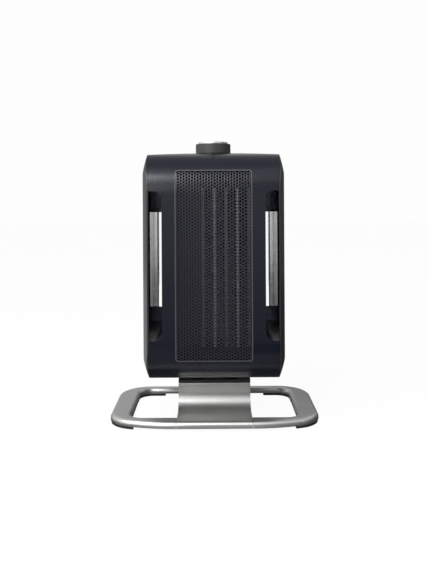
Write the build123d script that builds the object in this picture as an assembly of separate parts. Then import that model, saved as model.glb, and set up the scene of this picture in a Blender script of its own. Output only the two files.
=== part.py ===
from build123d import *
from functools import cache
import math
import os

# An upright ceramic fan heater on a metal ring stand, in millimetres.
# X runs to the right as seen from the front, Y to the back, Z up.
# The origin is the middle of the footprint, on the floor.

os.makedirs("parts", exist_ok=True)

# Stand ring
ring_half_width = 119.0
ring_half_depth = 75.0
ring_bow_radius = 160.0
ring_front_corner = 33.0
ring_rear_corner = 38.0
side_bar_width = 25.0
front_bar_width = 21.5
rear_bar_width = 13.0
window_front_corner = 13.0
window_rear_corner = 16.0
ring_top = 10.0
ring_edge_radius = 5.0
ring_wall = 2.2
foot_height = 3.0
foot_inset = 0.7
foot_plug_top = 6.0
plug_clearance = 0.25
front_foot_inner_x = 90.0
front_foot_rear_y = -38.0
rear_foot_inner_x = 63.0
rear_foot_front_y = 34.0

# Stand strap, one bent plate
strap_half_width = 42.0
strap_thickness = 2.0
strap_seam = 0.35
riser_front_y = -19.0
strap_top = 39.6
flange_rear_y = 19.0
bend_radius = 20.0
flange_bend_radius = 3.4
joiner_half_length = 64.0
joiner_thickness = 3.0
joiner_margin = 6.6
screw_radius = 1.7
screw_head_radius = 3.2
screw_head_height = 1.6
stand_screw_spread = 12.0
neck_screw_x = 32.0
neck_screw_y = 11.0

# Neck and tilt hinge
neck_top = 42.5
neck_edge_radius = 1.2
neck_skin = 0.8
tilt_axis_z = 52.0
lug_centre_x = 20.0
lug_width = 11.0
lug_radius = 5.0
tilt_pin_radius = 2.5
running_clearance = 0.05
washer_thickness = 0.7
washer_play = 0.05
ear_thickness = 1.5
ear_half_depth = 6.0
bracket_half_width = 34.0
bracket_half_depth = 14.0
bracket_thickness = 1.3
lug_slot_play = 1.4
pin_overhang = 1.0

# Head casing
head_bottom = 45.5
head_top = 307.0
head_front = -65.0
head_rear = 67.0
head_crown = 2.2
roll_radius = 48.0
half_width = 83.6
front_narrowing = 9.6
top_narrowing = 7.5
bottom_narrowing = 8.8
top_side_radius = 126.0
bottom_side_radius = 100.0
swell_y = 0.0
side_ease = 0.06
steepest_sine = 0.95
rear_corner = 12.0
wall = 2.2
side_wall = 1.6
seam_gap = 0.3
parting_y = 30.0
form_reach = 120.0
fit_gap = 0.2
snug_gap = 0.1
cut_past = 1.0
post_x = 64.0
post_bottom_z = 81.0
post_top_z = 277.0
post_radius = 4.0
cover_screw_seat = 46.0
cover_screw_tip = 12.0
cover_screw_head = 2.0

# Side slots and the channels behind them
slot_inner_x = 57.6
slot_bottom = 96.4
slot_top = 262.8
slot_corner = 9.4
liner_wall = 1.6
window_inner_x = 61.0
window_outer_x = 71.5
window_bottom = 114.5
window_top = 236.5
window_corner = 1.5
trim_inner_x = 70.6
trim_fold_x = 75.4
trim_edge_y = 52.0
trim_fold_y = 51.7
trim_lip_y = 51.0
trim_thickness = 1.0
trim_bottom = 117.2
trim_top = 236.9

# Outlet grille and its frame
grille_half_width = 43.2
grille_bottom = 72.8
grille_top = 286.5
grille_corner = 3.6
bezel_width = 1.3
bezel_raise = 0.5
bezel_gap = 0.1
grille_depth = 0.6
grille_thickness = 1.2
grille_hole_radius = 2.7
grille_hole_pitch = 8.2
grille_margin = 4.0
tunnel_wall = 1.5

# Intake grille and filter
intake_half_width = 44.0
intake_bottom = 97.0
intake_top = 256.0
intake_corner = 6.0
intake_rows = 28
intake_columns = 4
intake_bar = 2.4
intake_rib = 3.0
filter_thickness = 1.3
filter_overlap = 2.4

# Heating element
element_first_bar_x = -12.6
element_bar_pitch = 13.2
element_bar_count = 5
element_bar_width = 3.0
element_front = -36.2
element_depth = 12.2
element_bottom = 84.0
element_top = 267.0
fin_pitch = 4.0
fin_thickness = 0.5
fin_recess = 0.5
frame_half_width = 54.5
frame_thickness = 1.8
frame_margin = 8.0
tray_wall = 2.0
tray_lip = 1.2
tray_gap = 0.2
boss_x = 51.0
boss_inset_z = 6.0
boss_radius = 3.2
boss_hole_depth = 12.0
element_screw_reach = 8.0
terminal_width = 6.3
terminal_thickness = 0.8
terminal_height = 9.0
cutout_x = -37.0
cutout_z = 240.0
cutout_radius = 8.0
cutout_height = 7.5
cutout_tab_length = 5.0
cutout_tab_half = 3.0
cutout_tab_thick = 1.0
fuse_bottom = 194.0
fuse_length = 13.0
fuse_radius = 2.2
fuse_lead = 8.0
fuse_lead_radius = 0.55

# Fan, duct and motor
fan_x = -8.0
fan_y = 18.0
fan_radius = 32.0
blade_depth = 6.0
blade_count = 28
blade_thickness = 0.8
blade_bow = 1.6
disc_thickness = 1.6
disc_count = 5
disc_margin = 1.0
fan_end_gap = 5.0
hub_radius = 6.0
hub_length = 4.0
shaft_radius = 2.5
shaft_tail = 0.5
duct_floor_top = 81.0
duct_ceiling = 271.0
duct_plate = 2.0
duct_wall = 1.6
duct_right_x = 46.2
duct_left_x = -50.0
duct_rear_y = 60.0
scroll_y = 8.0
scroll_end_deg = 72.0
tongue_x = -19.6
tongue_front_y = -26.0
tongue_tip_x = -35.0
tongue_tip_y = -9.0
tongue_fillet = 3.0
shaft_hole_radius = 4.5
bush_radius = 5.0
bush_length = 4.0
holder_half = 15.0
holder_base = 2.0
holder_cup_wall = 1.8
holder_play = 1.0
stator_bottom = 62.5
stack_height = 12.0
stator_left_x = -32.0
stator_right_x = 36.0
stator_half_depth = 21.0
stator_corner = 3.0
rotor_radius = 13.0
air_gap = 0.5
core_window_left_x = 14.0
core_leg_x = 27.0
core_window_half = 11.0
coil_wall = 5.0
coil_margin = 1.0
coil_end = 4.0
core_clearance = 0.15
motor_plate = 1.6
motor_screw_x = 19.5
lower_plate_top = 60.0
motor_plate_half_width = 24.0
motor_plate_half_depth = 9.0

# Control on the top
knob_radius = 20.9
knob_gap = 1.0
knob_body_top = 319.4
knob_wall = 2.2
knob_edge_radius = 1.0
knob_hub_radius = 6.0
knob_hub_rise = 3.6
cap_radius = 17.4
cap_top = 321.9
cap_recess = 1.0
cap_edge_radius = 1.1
pointer_width = 1.8
pointer_inner = 8.0
pointer_outer = 15.5
pointer_depth = 0.6
spindle_radius = 3.0
spindle_top = 316.5
switch_y = 6.0
switch_half_width = 15.0
switch_half_depth = 13.0
switch_height = 18.0
switch_corner = 2.0
switch_wire_drop = 12.6
switch_bush_radius = 4.6
nut_radius = 7.5
nut_height = 2.2
lens_width = 3.8
lens_rear_y = -23.0
lens_front_y = -43.0
lamp_radius = 2.4
lamp_length = 14.0

# Tip-over switch, terminal block, gland and wires
tip_x = 55.0
tip_y = 2.0
tip_half_width = 7.0
tip_half_depth = 11.0
tip_height = 26.0
tip_plate = 1.6
tip_pivot_rise = 22.0
tip_pivot_radius = 1.2
bob_radius = 4.6
bob_height = 7.0
bob_drop = 12.0
arm_width = 3.0
block_x = -52.0
block_half_width = 9.0
block_half_length = 15.0
block_height = 12.0
block_poles = 3
block_hole_radius = 2.4
gland_x = -42.0
gland_z = 68.0
gland_radius = 7.0
gland_bore = 3.6
gland_edge_radius = 2.0
gland_inner_y = 44.0
gland_outer_y = 67.0
wire_radius = 1.1
wire_bend = 4.0
wire_lane_x = -53.4

# Sizes that follow from the ones above
screw_hole_radius = screw_radius + running_clearance
head_middle_y = (head_front + head_rear) / 2
head_middle_z = (head_bottom + head_top) / 2
floor_inside = head_bottom + wall
rear_inside = head_rear - wall
roll_front_y = head_front + roll_radius
roll_top_z = head_top - roll_radius
roll_bottom_z = head_bottom + roll_radius
trim_outer_x = half_width - wall - trim_thickness / 2
element_half_bar = element_bar_width / 2
element_left = element_first_bar_x - element_half_bar
element_right = element_left + (element_bar_count - 1) * element_bar_pitch + element_bar_width
element_rear = element_front + element_depth
frame_front = element_front - frame_thickness
stator_top = stator_bottom + stack_height
fan_bottom = duct_floor_top + fan_end_gap
fan_top = duct_ceiling - fan_end_gap
lid_top = duct_ceiling + duct_plate
floor_under = duct_floor_top - duct_plate
lower_plate_bottom = lower_plate_top - motor_plate
ring_inner_front = -ring_half_depth + front_bar_width
lug_inner_x = lug_centre_x - lug_width / 2
lug_outer_x = lug_centre_x + lug_width / 2
ear_gap = washer_thickness + 2 * washer_play
knob_bottom = head_top + knob_gap
switch_body_top = head_top - wall - fit_gap
switch_wire_z = switch_body_top - switch_wire_drop


def slab(x0, x1, y0, y1, z0, z1):
    """Block between two corners."""
    middle = Pos((x0 + x1) / 2, (y0 + y1) / 2, (z0 + z1) / 2)
    return middle * Box(x1 - x0, y1 - y0, z1 - z0)


def rod_x(y, z, x0, x1, radius):
    """Round rod along X."""
    return Pos((x0 + x1) / 2, y, z) * Rot(0, 90, 0) * Cylinder(radius, x1 - x0)


def rod_y(x, z, y0, y1, radius):
    """Round rod along Y."""
    return Pos(x, (y0 + y1) / 2, z) * Rot(90, 0, 0) * Cylinder(radius, y1 - y0)


def rod_z(x, y, z0, z1, radius):
    """Round rod along Z."""
    return Pos(x, y, (z0 + z1) / 2) * Cylinder(radius, z1 - z0)


def arc_point(centre_x, centre_y, radius, degrees):
    """Point on a circle."""
    angle = math.radians(degrees)
    return (centre_x + radius * math.cos(angle), centre_y + radius * math.sin(angle))


def mirrored(shape):
    """The same shape on the other side of the middle plane."""
    return mirror(shape, about=Plane.YZ)


def save(name, shape):
    """Write one node."""
    export_step(shape, "parts/" + name + ".step")


# Stand


def ring_outline(inset):
    """Outer plan of the ring: bowed front, round corners."""
    bow = ring_bow_radius - inset
    corner = ring_front_corner - inset
    rear = ring_rear_corner - inset
    side = ring_half_width - inset
    front = -ring_half_depth + inset
    back = ring_half_depth - inset
    bow_centre_y = front + bow
    corner_x = side - corner
    reach = corner_x - strap_half_width
    corner_y = bow_centre_y - math.sqrt((bow - corner) ** 2 - reach ** 2)
    swing = math.degrees(math.atan2(corner_y - bow_centre_y, reach))
    bow_middle = arc_point(strap_half_width, bow_centre_y, bow, (swing - 90) / 2)
    bow_end = arc_point(corner_x, corner_y, corner, swing)
    corner_middle = arc_point(corner_x, corner_y, corner, swing / 2)
    corner_end = (side, corner_y)
    rear_start = (side, back - rear)
    rear_middle = arc_point(side - rear, back - rear, rear, 45)
    rear_end = (side - rear, back)
    half = [
        Line((0, front), (strap_half_width, front)),
        ThreePointArc((strap_half_width, front), bow_middle, bow_end),
        ThreePointArc(bow_end, corner_middle, corner_end),
        Line(corner_end, rear_start),
        ThreePointArc(rear_start, rear_middle, rear_end),
        Line(rear_end, (0, back)),
    ]
    other = [mirror(edge, about=Plane.YZ) for edge in half]
    return make_face(half + other)


def window_outline(inset):
    """Plan of the open middle of the ring, grown by the inset."""
    side = ring_half_width - side_bar_width + inset
    front = ring_inner_front - inset
    back = ring_half_depth - rear_bar_width + inset
    outline = Pos(0, (front + back) / 2) * Rectangle(2 * side, back - front)
    front_corners = outline.vertices().group_by(Axis.Y)[0]
    outline = fillet(front_corners, window_front_corner + inset)
    rear_corners = outline.vertices().group_by(Axis.Y)[-1]
    return fillet(rear_corners, window_rear_corner + inset)


def ring_band(inset, bottom, top, edge_radius):
    """The ring's closed band between two heights, rounded on top."""
    outline = ring_outline(inset) - window_outline(inset)
    band = Pos(0, 0, bottom) * extrude(outline, amount=top - bottom)
    return fillet(band.faces().sort_by(Axis.Z)[-1].edges(), edge_radius)


def strap_gap():
    """Room for the strap in the ring's front bar."""
    half = strap_half_width + strap_seam
    rear = ring_inner_front + ring_edge_radius
    return slab(-half, half, -form_reach, rear, -cut_past, ring_top + cut_past)


def make_ring():
    """Hollow casting, open underneath and at the strap."""
    outer = ring_band(0, foot_height, ring_top, ring_edge_radius)
    core_radius = ring_edge_radius - ring_wall
    hollow = ring_band(ring_wall, foot_height - cut_past, ring_top - ring_wall, core_radius)
    return outer - hollow - strap_gap() - screw_holes(ring_screw_places())


def foot_zone(x_inner, y_inner, front):
    """The corner that one foot covers, on the right."""
    if front:
        return slab(x_inner, form_reach, -form_reach, y_inner, -cut_past, ring_top)
    return slab(x_inner, form_reach, y_inner, form_reach, -cut_past, ring_top)


def make_foot(front):
    """Rubber foot under a right corner, plugged into the ring."""
    pad = ring_outline(foot_inset) - window_outline(foot_inset)
    pad = extrude(pad, amount=foot_height)
    plug_inset = ring_wall + plug_clearance
    plug = ring_outline(plug_inset) - window_outline(plug_inset)
    plug = Pos(0, 0, foot_height) * extrude(plug, amount=foot_plug_top - foot_height)
    if front:
        zone = foot_zone(front_foot_inner_x, front_foot_rear_y, True)
    else:
        zone = foot_zone(rear_foot_inner_x, rear_foot_front_y, False)
    return (pad + plug) & zone


def strap_path():
    """Middle line of the bent plate, seen from the side."""
    half = strap_thickness / 2
    points = [
        (-ring_half_depth + half, foot_height),
        (-ring_half_depth + half, ring_top - half),
        (riser_front_y + half, ring_top - half),
        (riser_front_y + half, strap_top - half),
        (flange_rear_y, strap_top - half),
    ]
    radii = [ring_edge_radius - half, bend_radius - half, flange_bend_radius - half]
    return FilletPolyline(*points, radius=radii)


def make_strap():
    """Front bar, floor plate, riser and top flange in one plate."""
    section = Plane.YZ * trace(strap_path(), line_width=strap_thickness)
    plate = extrude(section, amount=strap_half_width, both=True)
    holes = screw_holes(strap_screw_places()) + neck_holes()
    return plate - holes


def joiner_y():
    """Middle of the front bar in Y."""
    return -ring_half_depth + front_bar_width / 2


def ring_screw_places():
    """Joiner screws that go into the ring's two ends."""
    x = strap_half_width + stand_screw_spread
    return [(-x, joiner_y()), (x, joiner_y())]


def strap_screw_places():
    """Joiner screws that go into the strap."""
    x = strap_half_width - stand_screw_spread
    return [(-x, joiner_y()), (x, joiner_y())]


def joiner_top():
    """The joiner lies against the underside of ring and strap."""
    return ring_top - ring_wall


def screw_holes(places):
    """Blind holes from below for the joiner screws."""
    top = ring_top - ring_wall / 4
    radius = screw_hole_radius
    return Compound([rod_z(x, y, 0, top, radius) for x, y in places])


def make_joiner():
    """Steel bar under the front of the stand."""
    top = joiner_top()
    half = front_bar_width / 2 - joiner_margin
    bar = slab(-joiner_half_length, joiner_half_length,
               joiner_y() - half, joiner_y() + half, top - joiner_thickness, top)
    places = ring_screw_places() + strap_screw_places()
    return bar - screw_holes(places)


def screw_z(x, y, seat, tip):
    """Upright screw with its head under the seat."""
    head = rod_z(x, y, seat - screw_head_height, seat, screw_head_radius)
    return head + rod_z(x, y, seat, tip, screw_radius)


def make_stand_screws():
    """Four screws through the joiner."""
    seat = joiner_top() - joiner_thickness
    tip = ring_top - ring_wall / 2
    places = ring_screw_places() + strap_screw_places()
    return Compound([screw_z(x, y, seat, tip) for x, y in places])


def neck_screw_places():
    """Four corners of the neck block."""
    return [(sx * neck_screw_x, sy * neck_screw_y) for sx in (-1, 1) for sy in (-1, 1)]


def neck_holes():
    """Screw holes through the flange and into the neck block."""
    radius = screw_hole_radius
    top = neck_top - neck_skin
    rods = [rod_z(x, y, strap_top - 2 * strap_thickness, top, radius)
            for x, y in neck_screw_places()]
    return Compound(rods)


def make_neck_screws():
    """Screws from under the flange into the neck block."""
    seat = strap_top - strap_thickness
    tip = neck_top - neck_skin - fit_gap
    return Compound([screw_z(x, y, seat, tip) for x, y in neck_screw_places()])


def make_neck_block():
    """Black block on the flange, with two lugs for the tilt pin."""
    block = slab(-strap_half_width, strap_half_width, riser_front_y, flange_rear_y,
                 strap_top, neck_top)
    block = fillet(block.edges().filter_by(Axis.X).group_by(Axis.Z)[-1], neck_edge_radius)
    for side in (-1, 1):
        centre = side * lug_centre_x
        half = lug_width / 2
        block += slab(centre - half, centre + half, -lug_radius, lug_radius,
                      strap_top, tilt_axis_z)
        block += rod_x(0, tilt_axis_z, centre - half, centre + half, lug_radius)
    bore = tilt_pin_radius + running_clearance
    reach = lug_outer_x + 1
    return block - rod_x(0, tilt_axis_z, -reach, reach, bore) - neck_holes()


def ear_places():
    """Inner X of each of the four ears of the hinge bracket."""
    outer = lug_outer_x + ear_gap
    inner = lug_inner_x - ear_gap - ear_thickness
    return [-outer - ear_thickness, -inner - ear_thickness, inner, outer]


def make_hinge_bracket():
    """Steel bracket on the head's floor, with ears beside the lugs."""
    bottom = seat_z(bracket_half_width)
    top = bottom + bracket_thickness
    bracket = slab(-bracket_half_width, bracket_half_width, -bracket_half_depth,
                   bracket_half_depth, bottom, top)
    for x in ear_places():
        ear = slab(x, x + ear_thickness, -ear_half_depth, ear_half_depth, bottom, tilt_axis_z)
        ear += rod_x(0, tilt_axis_z, x, x + ear_thickness, ear_half_depth)
        bracket += ear & slab(x, x + ear_thickness, -ear_half_depth, ear_half_depth,
                              bottom, head_top)
    bracket -= lug_slots()
    reach = bracket_half_width
    return bracket - rod_x(0, tilt_axis_z, -reach, reach, tilt_pin_radius)


def lug_slots():
    """Openings in the head's floor that the lugs come through."""
    half_x = lug_width / 2 + ear_gap
    half_y = lug_radius + lug_slot_play
    floor = head_bottom - 1
    top = seat_z(bracket_half_width) + bracket_thickness + fit_gap
    slots = [slab(side * lug_centre_x - half_x, side * lug_centre_x + half_x,
                  -half_y, half_y, floor, top) for side in (-1, 1)]
    return Compound(slots)


def make_tilt_pin():
    """Hinge pin, pressed into the ears."""
    reach = lug_outer_x + ear_gap + ear_thickness + pin_overhang
    return rod_x(0, tilt_axis_z, -reach, reach, tilt_pin_radius)


def make_washers():
    """Friction washers on both sides of each lug."""
    radius = lug_radius - fit_gap
    bore = tilt_pin_radius + running_clearance
    washers = []
    for side in (-1, 1):
        for face in (lug_inner_x - washer_play - washer_thickness, lug_outer_x + washer_play):
            x0 = face if side > 0 else -face - washer_thickness
            ring = rod_x(0, tilt_axis_z, x0, x0 + washer_thickness, radius)
            hole = rod_x(0, tilt_axis_z, x0 - cut_past, x0 + washer_thickness + cut_past, bore)
            washers.append(ring - hole)
    return Compound(washers)


# Head forms


@cache
def roll_form(inset):
    """Side view of the head, a rounded rectangle, run through in X."""
    depth = head_rear - head_front - 2 * inset
    height = head_top - head_bottom - 2 * inset
    outline = RectangleRounded(depth, height, roll_radius - inset)
    outline = Plane.YZ * Pos(head_middle_y, head_middle_z) * outline
    return extrude(outline, amount=form_reach, both=True)


def crown_drop(x, inset):
    """How far the arched top or bottom falls away at a distance from the middle."""
    reach = half_width - top_narrowing
    radius = (reach ** 2 + head_crown ** 2) / (2 * head_crown) - inset
    return radius - math.sqrt(radius ** 2 - x ** 2)


def seat_z(x):
    """Height at which a flat piece that reaches out to X rests on the head's floor."""
    return floor_inside + crown_drop(x, wall) + snug_gap


@cache
def crown_form(inset):
    """Slightly arched top and bottom, run through in Y."""
    drop = crown_drop(form_reach, inset)
    top = head_top - inset
    bottom = head_bottom + inset
    edges = [
        ThreePointArc((-form_reach, top - drop), (0, top), (form_reach, top - drop)),
        Line((form_reach, top - drop), (form_reach, bottom + drop)),
        ThreePointArc((form_reach, bottom + drop), (0, bottom), (-form_reach, bottom + drop)),
        Line((-form_reach, bottom + drop), (-form_reach, top - drop)),
    ]
    return extrude(Plane.XZ * make_face(edges), amount=form_reach, both=True)


def side_arc(height, narrowing, radius, inset, upward):
    """Curved end of the front view's right side: end, middle and start points.

    The front view stands side_ease outside the plan, so the two share no face.
    """
    widest = half_width + side_ease
    inward = narrowing + side_ease
    rise = math.sqrt(radius ** 2 - (radius - inward) ** 2)
    tangent_z = height - upward * rise
    bend = radius - inset
    centre_x = widest - radius
    sweep = math.degrees(math.asin(min(steepest_sine, (rise + roll_radius / 4) / bend)))
    end = arc_point(centre_x, tangent_z, bend, upward * sweep)
    middle = arc_point(centre_x, tangent_z, bend, upward * sweep / 2)
    return end, middle, (widest - inset, tangent_z)


def view_end(side, roll_z):
    """Front view of the head beyond a roll's axis, as a face at the front rolls."""
    end, middle, start = side
    half = [
        Line((0, roll_z), (start[0], roll_z)),
        Line((start[0], roll_z), start),
        ThreePointArc(start, middle, end),
        Line(end, (0, end[1])),
    ]
    other = [mirror(edge, about=Plane.YZ) for edge in half]
    return Pos(0, roll_front_y, 0) * (Plane.XZ * make_face(half + other))


@cache
def front_view_form(inset):
    """Front view of the head, run through to the back and turned round the front rolls."""
    top = side_arc(head_top, top_narrowing, top_side_radius, inset, 1)
    low = side_arc(head_bottom, bottom_narrowing, bottom_side_radius, inset, -1)
    side = half_width + side_ease - inset
    form = slab(-side, side, -form_reach, form_reach, roll_bottom_z, roll_top_z)
    back = form_reach - roll_front_y
    for arc, roll_z, turn in ((top, roll_top_z, 90), (low, roll_bottom_z, -90)):
        face = view_end(arc, roll_z)
        form += extrude(face, amount=back, dir=(0, 1, 0))
        form += revolve(face, Axis((0, roll_front_y, roll_z), (1, 0, 0)), turn)
    return form


@cache
def plan_form(inset):
    """Plan of the head, swelling from the front to half its depth."""
    rise = swell_y - head_front
    radius = (rise ** 2 + front_narrowing ** 2) / (2 * front_narrowing)
    bend = radius - inset
    centre_x = half_width - radius
    sweep = -math.degrees(math.asin((rise + roll_radius / 4) / bend))
    front_end = arc_point(centre_x, swell_y, bend, sweep)
    front_middle = arc_point(centre_x, swell_y, bend, sweep / 2)
    side = half_width - inset
    back = head_rear - inset
    corner = rear_corner - inset
    corner_start = (side, back - corner)
    corner_middle = arc_point(side - corner, back - corner, corner, 45)
    half = [
        Line((0, front_end[1]), front_end),
        ThreePointArc(front_end, front_middle, (side, swell_y)),
        Line((side, swell_y), corner_start),
        ThreePointArc(corner_start, corner_middle, (side - corner, back)),
        Line((side - corner, back), (0, back)),
    ]
    other = [mirror(edge, about=Plane.YZ) for edge in half]
    outline = make_face(half + other)
    return Pos(0, 0, head_bottom - wall) * extrude(outline, amount=head_top - head_bottom + 2 * wall)


@cache
def side_limits(inset):
    """Both side surfaces of the head together."""
    return front_view_form(inset) & plan_form(inset)


@cache
def wrap_form(inset):
    """The surface that wraps front, top, back and bottom."""
    return roll_form(inset) & crown_form(inset)


def head_form(inset, side_inset):
    """Solid outer form of the head, inset on the wrap and on the sides."""
    return wrap_form(inset) & side_limits(side_inset)


def before(y):
    """Everything in front of a Y plane."""
    return slab(-form_reach, form_reach, -form_reach, y, 0, head_top + form_reach)


def behind(y):
    """Everything behind a Y plane."""
    return slab(-form_reach, form_reach, y, form_reach, 0, head_top + form_reach)


@cache
def channel_form(growth):
    """Cross-section of the right channel, run through in Y."""
    width = form_reach - slot_inner_x + growth
    height = slot_top - slot_bottom + 2 * growth
    outline = RectangleRounded(width, height, slot_corner + growth)
    place = Pos(slot_inner_x - growth + width / 2, (slot_bottom + slot_top) / 2)
    return extrude(Plane.XZ * place * outline, amount=form_reach, both=True)


def grille_form(growth):
    """Outline of the outlet opening, run through the front wall."""
    width = 2 * (grille_half_width + growth)
    height = grille_top - grille_bottom + 2 * growth
    outline = RectangleRounded(width, height, grille_corner + growth)
    outline = Plane.XZ * Pos(0, (grille_bottom + grille_top) / 2) * outline
    return Pos(0, head_front - 2 * cut_past, 0) * extrude(outline, amount=-roll_radius)


def lens_form(growth):
    """Drop-shaped outline of the pilot lens, run down through the top wall."""
    radius = lens_width / 2 + growth
    centre_y = lens_front_y + lens_width / 2
    tip = (0, lens_rear_y + growth)
    length = tip[1] - centre_y
    tangent = math.degrees(math.acos(radius / length))
    right = arc_point(0, centre_y, radius, 90 - tangent)
    left = (-right[0], right[1])
    edges = [
        Line(tip, right),
        ThreePointArc(right, (0, centre_y - radius), left),
        Line(left, tip),
    ]
    outline = Pos(0, 0, head_top - roll_radius / 2) * make_face(edges)
    return extrude(outline, amount=roll_radius)


def post_places():
    """Four screw posts between the two covers."""
    return [(sx * post_x, z) for sx in (-1, 1) for z in (post_bottom_z, post_top_z)]


def boss_places():
    """Four bosses that carry the element frame."""
    low = element_bottom - boss_inset_z / 2
    high = element_top + boss_inset_z / 2
    return [(sx * boss_x, z) for sx in (-1, 1) for z in (low, high)]


def outlet_tunnel():
    """Walls from the outlet back to the element frame."""
    outer = grille_form(tunnel_wall + bezel_width)
    inner = grille_form(bezel_width)
    depth = before(frame_front - fit_gap)
    return (outer - inner) & depth & roll_form(wall / 2)


def make_front_cover():
    """Front face with its top and bottom wrap, in one moulding."""
    edge = side_wall + seam_gap
    cover = wrap_form(0) & side_limits(edge) & before(parting_y - seam_gap / 2)
    cover -= wrap_form(wall)
    inside = head_form(wall / 2, edge + wall)
    for x, z in post_places():
        cover += rod_y(x, z, head_front, parting_y - seam_gap, post_radius) & inside
    for x, z in boss_places():
        cover += rod_y(x, z, head_front, frame_front - fit_gap, boss_radius) & inside
    cover += outlet_tunnel()
    cover -= channel_form(0)
    cover -= mirrored(channel_form(0))
    cover -= grille_form(0)
    cover -= lens_form(snug_gap)
    bush = switch_bush_radius + snug_gap
    cover -= rod_z(0, switch_y, head_top - roll_radius, head_top + cut_past, bush)
    cover -= lug_slots()
    for x, z in post_places():
        cover -= rod_y(x, z, cover_screw_tip - cover_screw_head, form_reach, screw_hole_radius)
    for x, z in boss_places():
        cover -= rod_y(x, z, frame_front - boss_hole_depth, 0, screw_hole_radius)
    return cover


def make_side_cover():
    """Right side cover, a curved skin out to the edge of the front face."""
    skin = wrap_form(0) & side_limits(0) & before(parting_y - seam_gap / 2)
    skin -= side_limits(side_wall)
    return skin & slab(0, form_reach, -form_reach, form_reach, 0, head_top + form_reach)


def rear_window():
    """The see-through window of the right channel."""
    width = window_outer_x - window_inner_x
    height = window_top - window_bottom
    outline = RectangleRounded(width, height, window_corner)
    place = Pos((window_inner_x + window_outer_x) / 2, (window_bottom + window_top) / 2)
    return Pos(0, rear_inside - cut_past, 0) * extrude(Plane.XZ * place * outline, amount=-2 * wall)


def intake_form(growth):
    """Outline of the intake opening, run through the rear wall."""
    width = 2 * (intake_half_width + growth)
    height = intake_top - intake_bottom + 2 * growth
    outline = RectangleRounded(width, height, intake_corner + growth)
    outline = Plane.XZ * Pos(0, (intake_bottom + intake_top) / 2) * outline
    return Pos(0, rear_inside - cut_past, 0) * extrude(outline, amount=-2 * wall)


def make_rear_cover():
    """Rear tub with its intake, windows and screw posts."""
    cover = head_form(0, 0) & behind(parting_y + seam_gap / 2)
    cover -= head_form(wall, wall)
    inside = head_form(wall / 2, wall)
    for x, z in post_places():
        cover += rod_y(x, z, parting_y + seam_gap, head_rear, post_radius) & inside
    cover -= intake_form(0)
    cover -= rear_window()
    cover -= mirrored(rear_window())
    cover -= rod_y(gland_x, gland_z, parting_y, form_reach, gland_radius + snug_gap)
    for x, z in post_places():
        cover -= rod_y(x, z, 0, form_reach, screw_hole_radius)
        cover -= rod_y(x, z, cover_screw_seat, form_reach, screw_head_radius + fit_gap)
    return cover


def make_cover_screws():
    """Four long screws from the back."""
    screws = []
    for x, z in post_places():
        head = rod_y(x, z, cover_screw_seat, cover_screw_seat + cover_screw_head, screw_head_radius)
        screws.append(head + rod_y(x, z, cover_screw_tip, cover_screw_seat, screw_radius))
    return Compound(screws)


def make_channel_liner():
    """Right channel: inner wall, ceiling and floor, open to the side cover."""
    liner = channel_form(liner_wall) - channel_form(0)
    return liner & head_form(wall + fit_gap / 2, wall + fit_gap)


def make_channel_trim():
    """Bright strip at the back of the right channel."""
    points = [
        (trim_inner_x, rear_inside - fit_gap),
        (trim_inner_x, trim_edge_y),
        (trim_fold_x, trim_fold_y),
        (trim_outer_x, trim_lip_y),
    ]
    path = FilletPolyline(*points, radius=trim_thickness)
    section = Pos(0, 0, trim_bottom) * trace(path, line_width=trim_thickness)
    return extrude(section, amount=trim_top - trim_bottom)


def make_grille_frame():
    """Thin raised line round the outlet, curved with the front."""
    frame = roll_form(-bezel_raise) - roll_form(wall)
    frame &= grille_form(-bezel_gap)
    return frame - grille_form(-bezel_gap - bezel_width)


def grille_hole_field():
    """Staggered holes of the outlet grille, coarser than the real ones."""
    reach_x = grille_half_width - grille_margin
    reach_z = (grille_top - grille_bottom) / 2 - grille_margin
    row_pitch = grille_hole_pitch * math.sqrt(3) / 2
    rows = int(reach_z / row_pitch)
    columns = int(reach_x / grille_hole_pitch)
    holes = []
    for row in range(-rows, rows + 1):
        shift = grille_hole_pitch / 2 if row % 2 else 0
        for column in range(-columns, columns + 1):
            x = column * grille_hole_pitch + shift
            if abs(x) <= reach_x:
                holes.append((x, row * row_pitch))
    return holes


def make_front_grille():
    """Perforated sheet in the outlet."""
    inset = bezel_gap + bezel_width + bezel_gap
    sheet = roll_form(grille_depth) - roll_form(grille_depth + grille_thickness)
    sheet &= grille_form(-inset)
    middle = (grille_bottom + grille_top) / 2
    holes = Sketch() + [Pos(x, z) * Circle(grille_hole_radius) for x, z in grille_hole_field()]
    field = Plane.XZ * Pos(0, middle) * holes
    return sheet - Pos(0, head_front - 2 * cut_past, 0) * extrude(field, amount=-roll_radius)


def make_intake_grille():
    """Slatted grille in the intake opening."""
    plate = intake_form(-snug_gap) & slab(
        -form_reach, form_reach, rear_inside, head_rear, 0, head_top)
    width = 2 * (intake_half_width - intake_rib)
    height = intake_top - intake_bottom - 2 * intake_rib
    slot_width = (width - (intake_columns - 1) * intake_rib) / intake_columns
    slot_height = (height - (intake_rows - 1) * intake_bar) / intake_rows
    slots = GridLocations(slot_width + intake_rib, slot_height + intake_bar,
                          intake_columns, intake_rows)
    middle = (intake_bottom + intake_top) / 2
    field = Plane.XZ * Pos(0, middle) * (Sketch() + slots * Rectangle(slot_width, slot_height))
    return plate - Pos(0, rear_inside - cut_past, 0) * extrude(field, amount=-2 * wall)


def make_filter():
    """Thin dust filter sheet behind the intake grille."""
    half = intake_half_width + filter_overlap
    rear = rear_inside - fit_gap / 2
    return slab(-half, half, rear - filter_thickness, rear,
                intake_bottom - filter_overlap, intake_top + filter_overlap)


def make_lens():
    """Drop-shaped pilot lens, flush with the top."""
    return lens_form(0) & (wrap_form(0) - wrap_form(wall))


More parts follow.
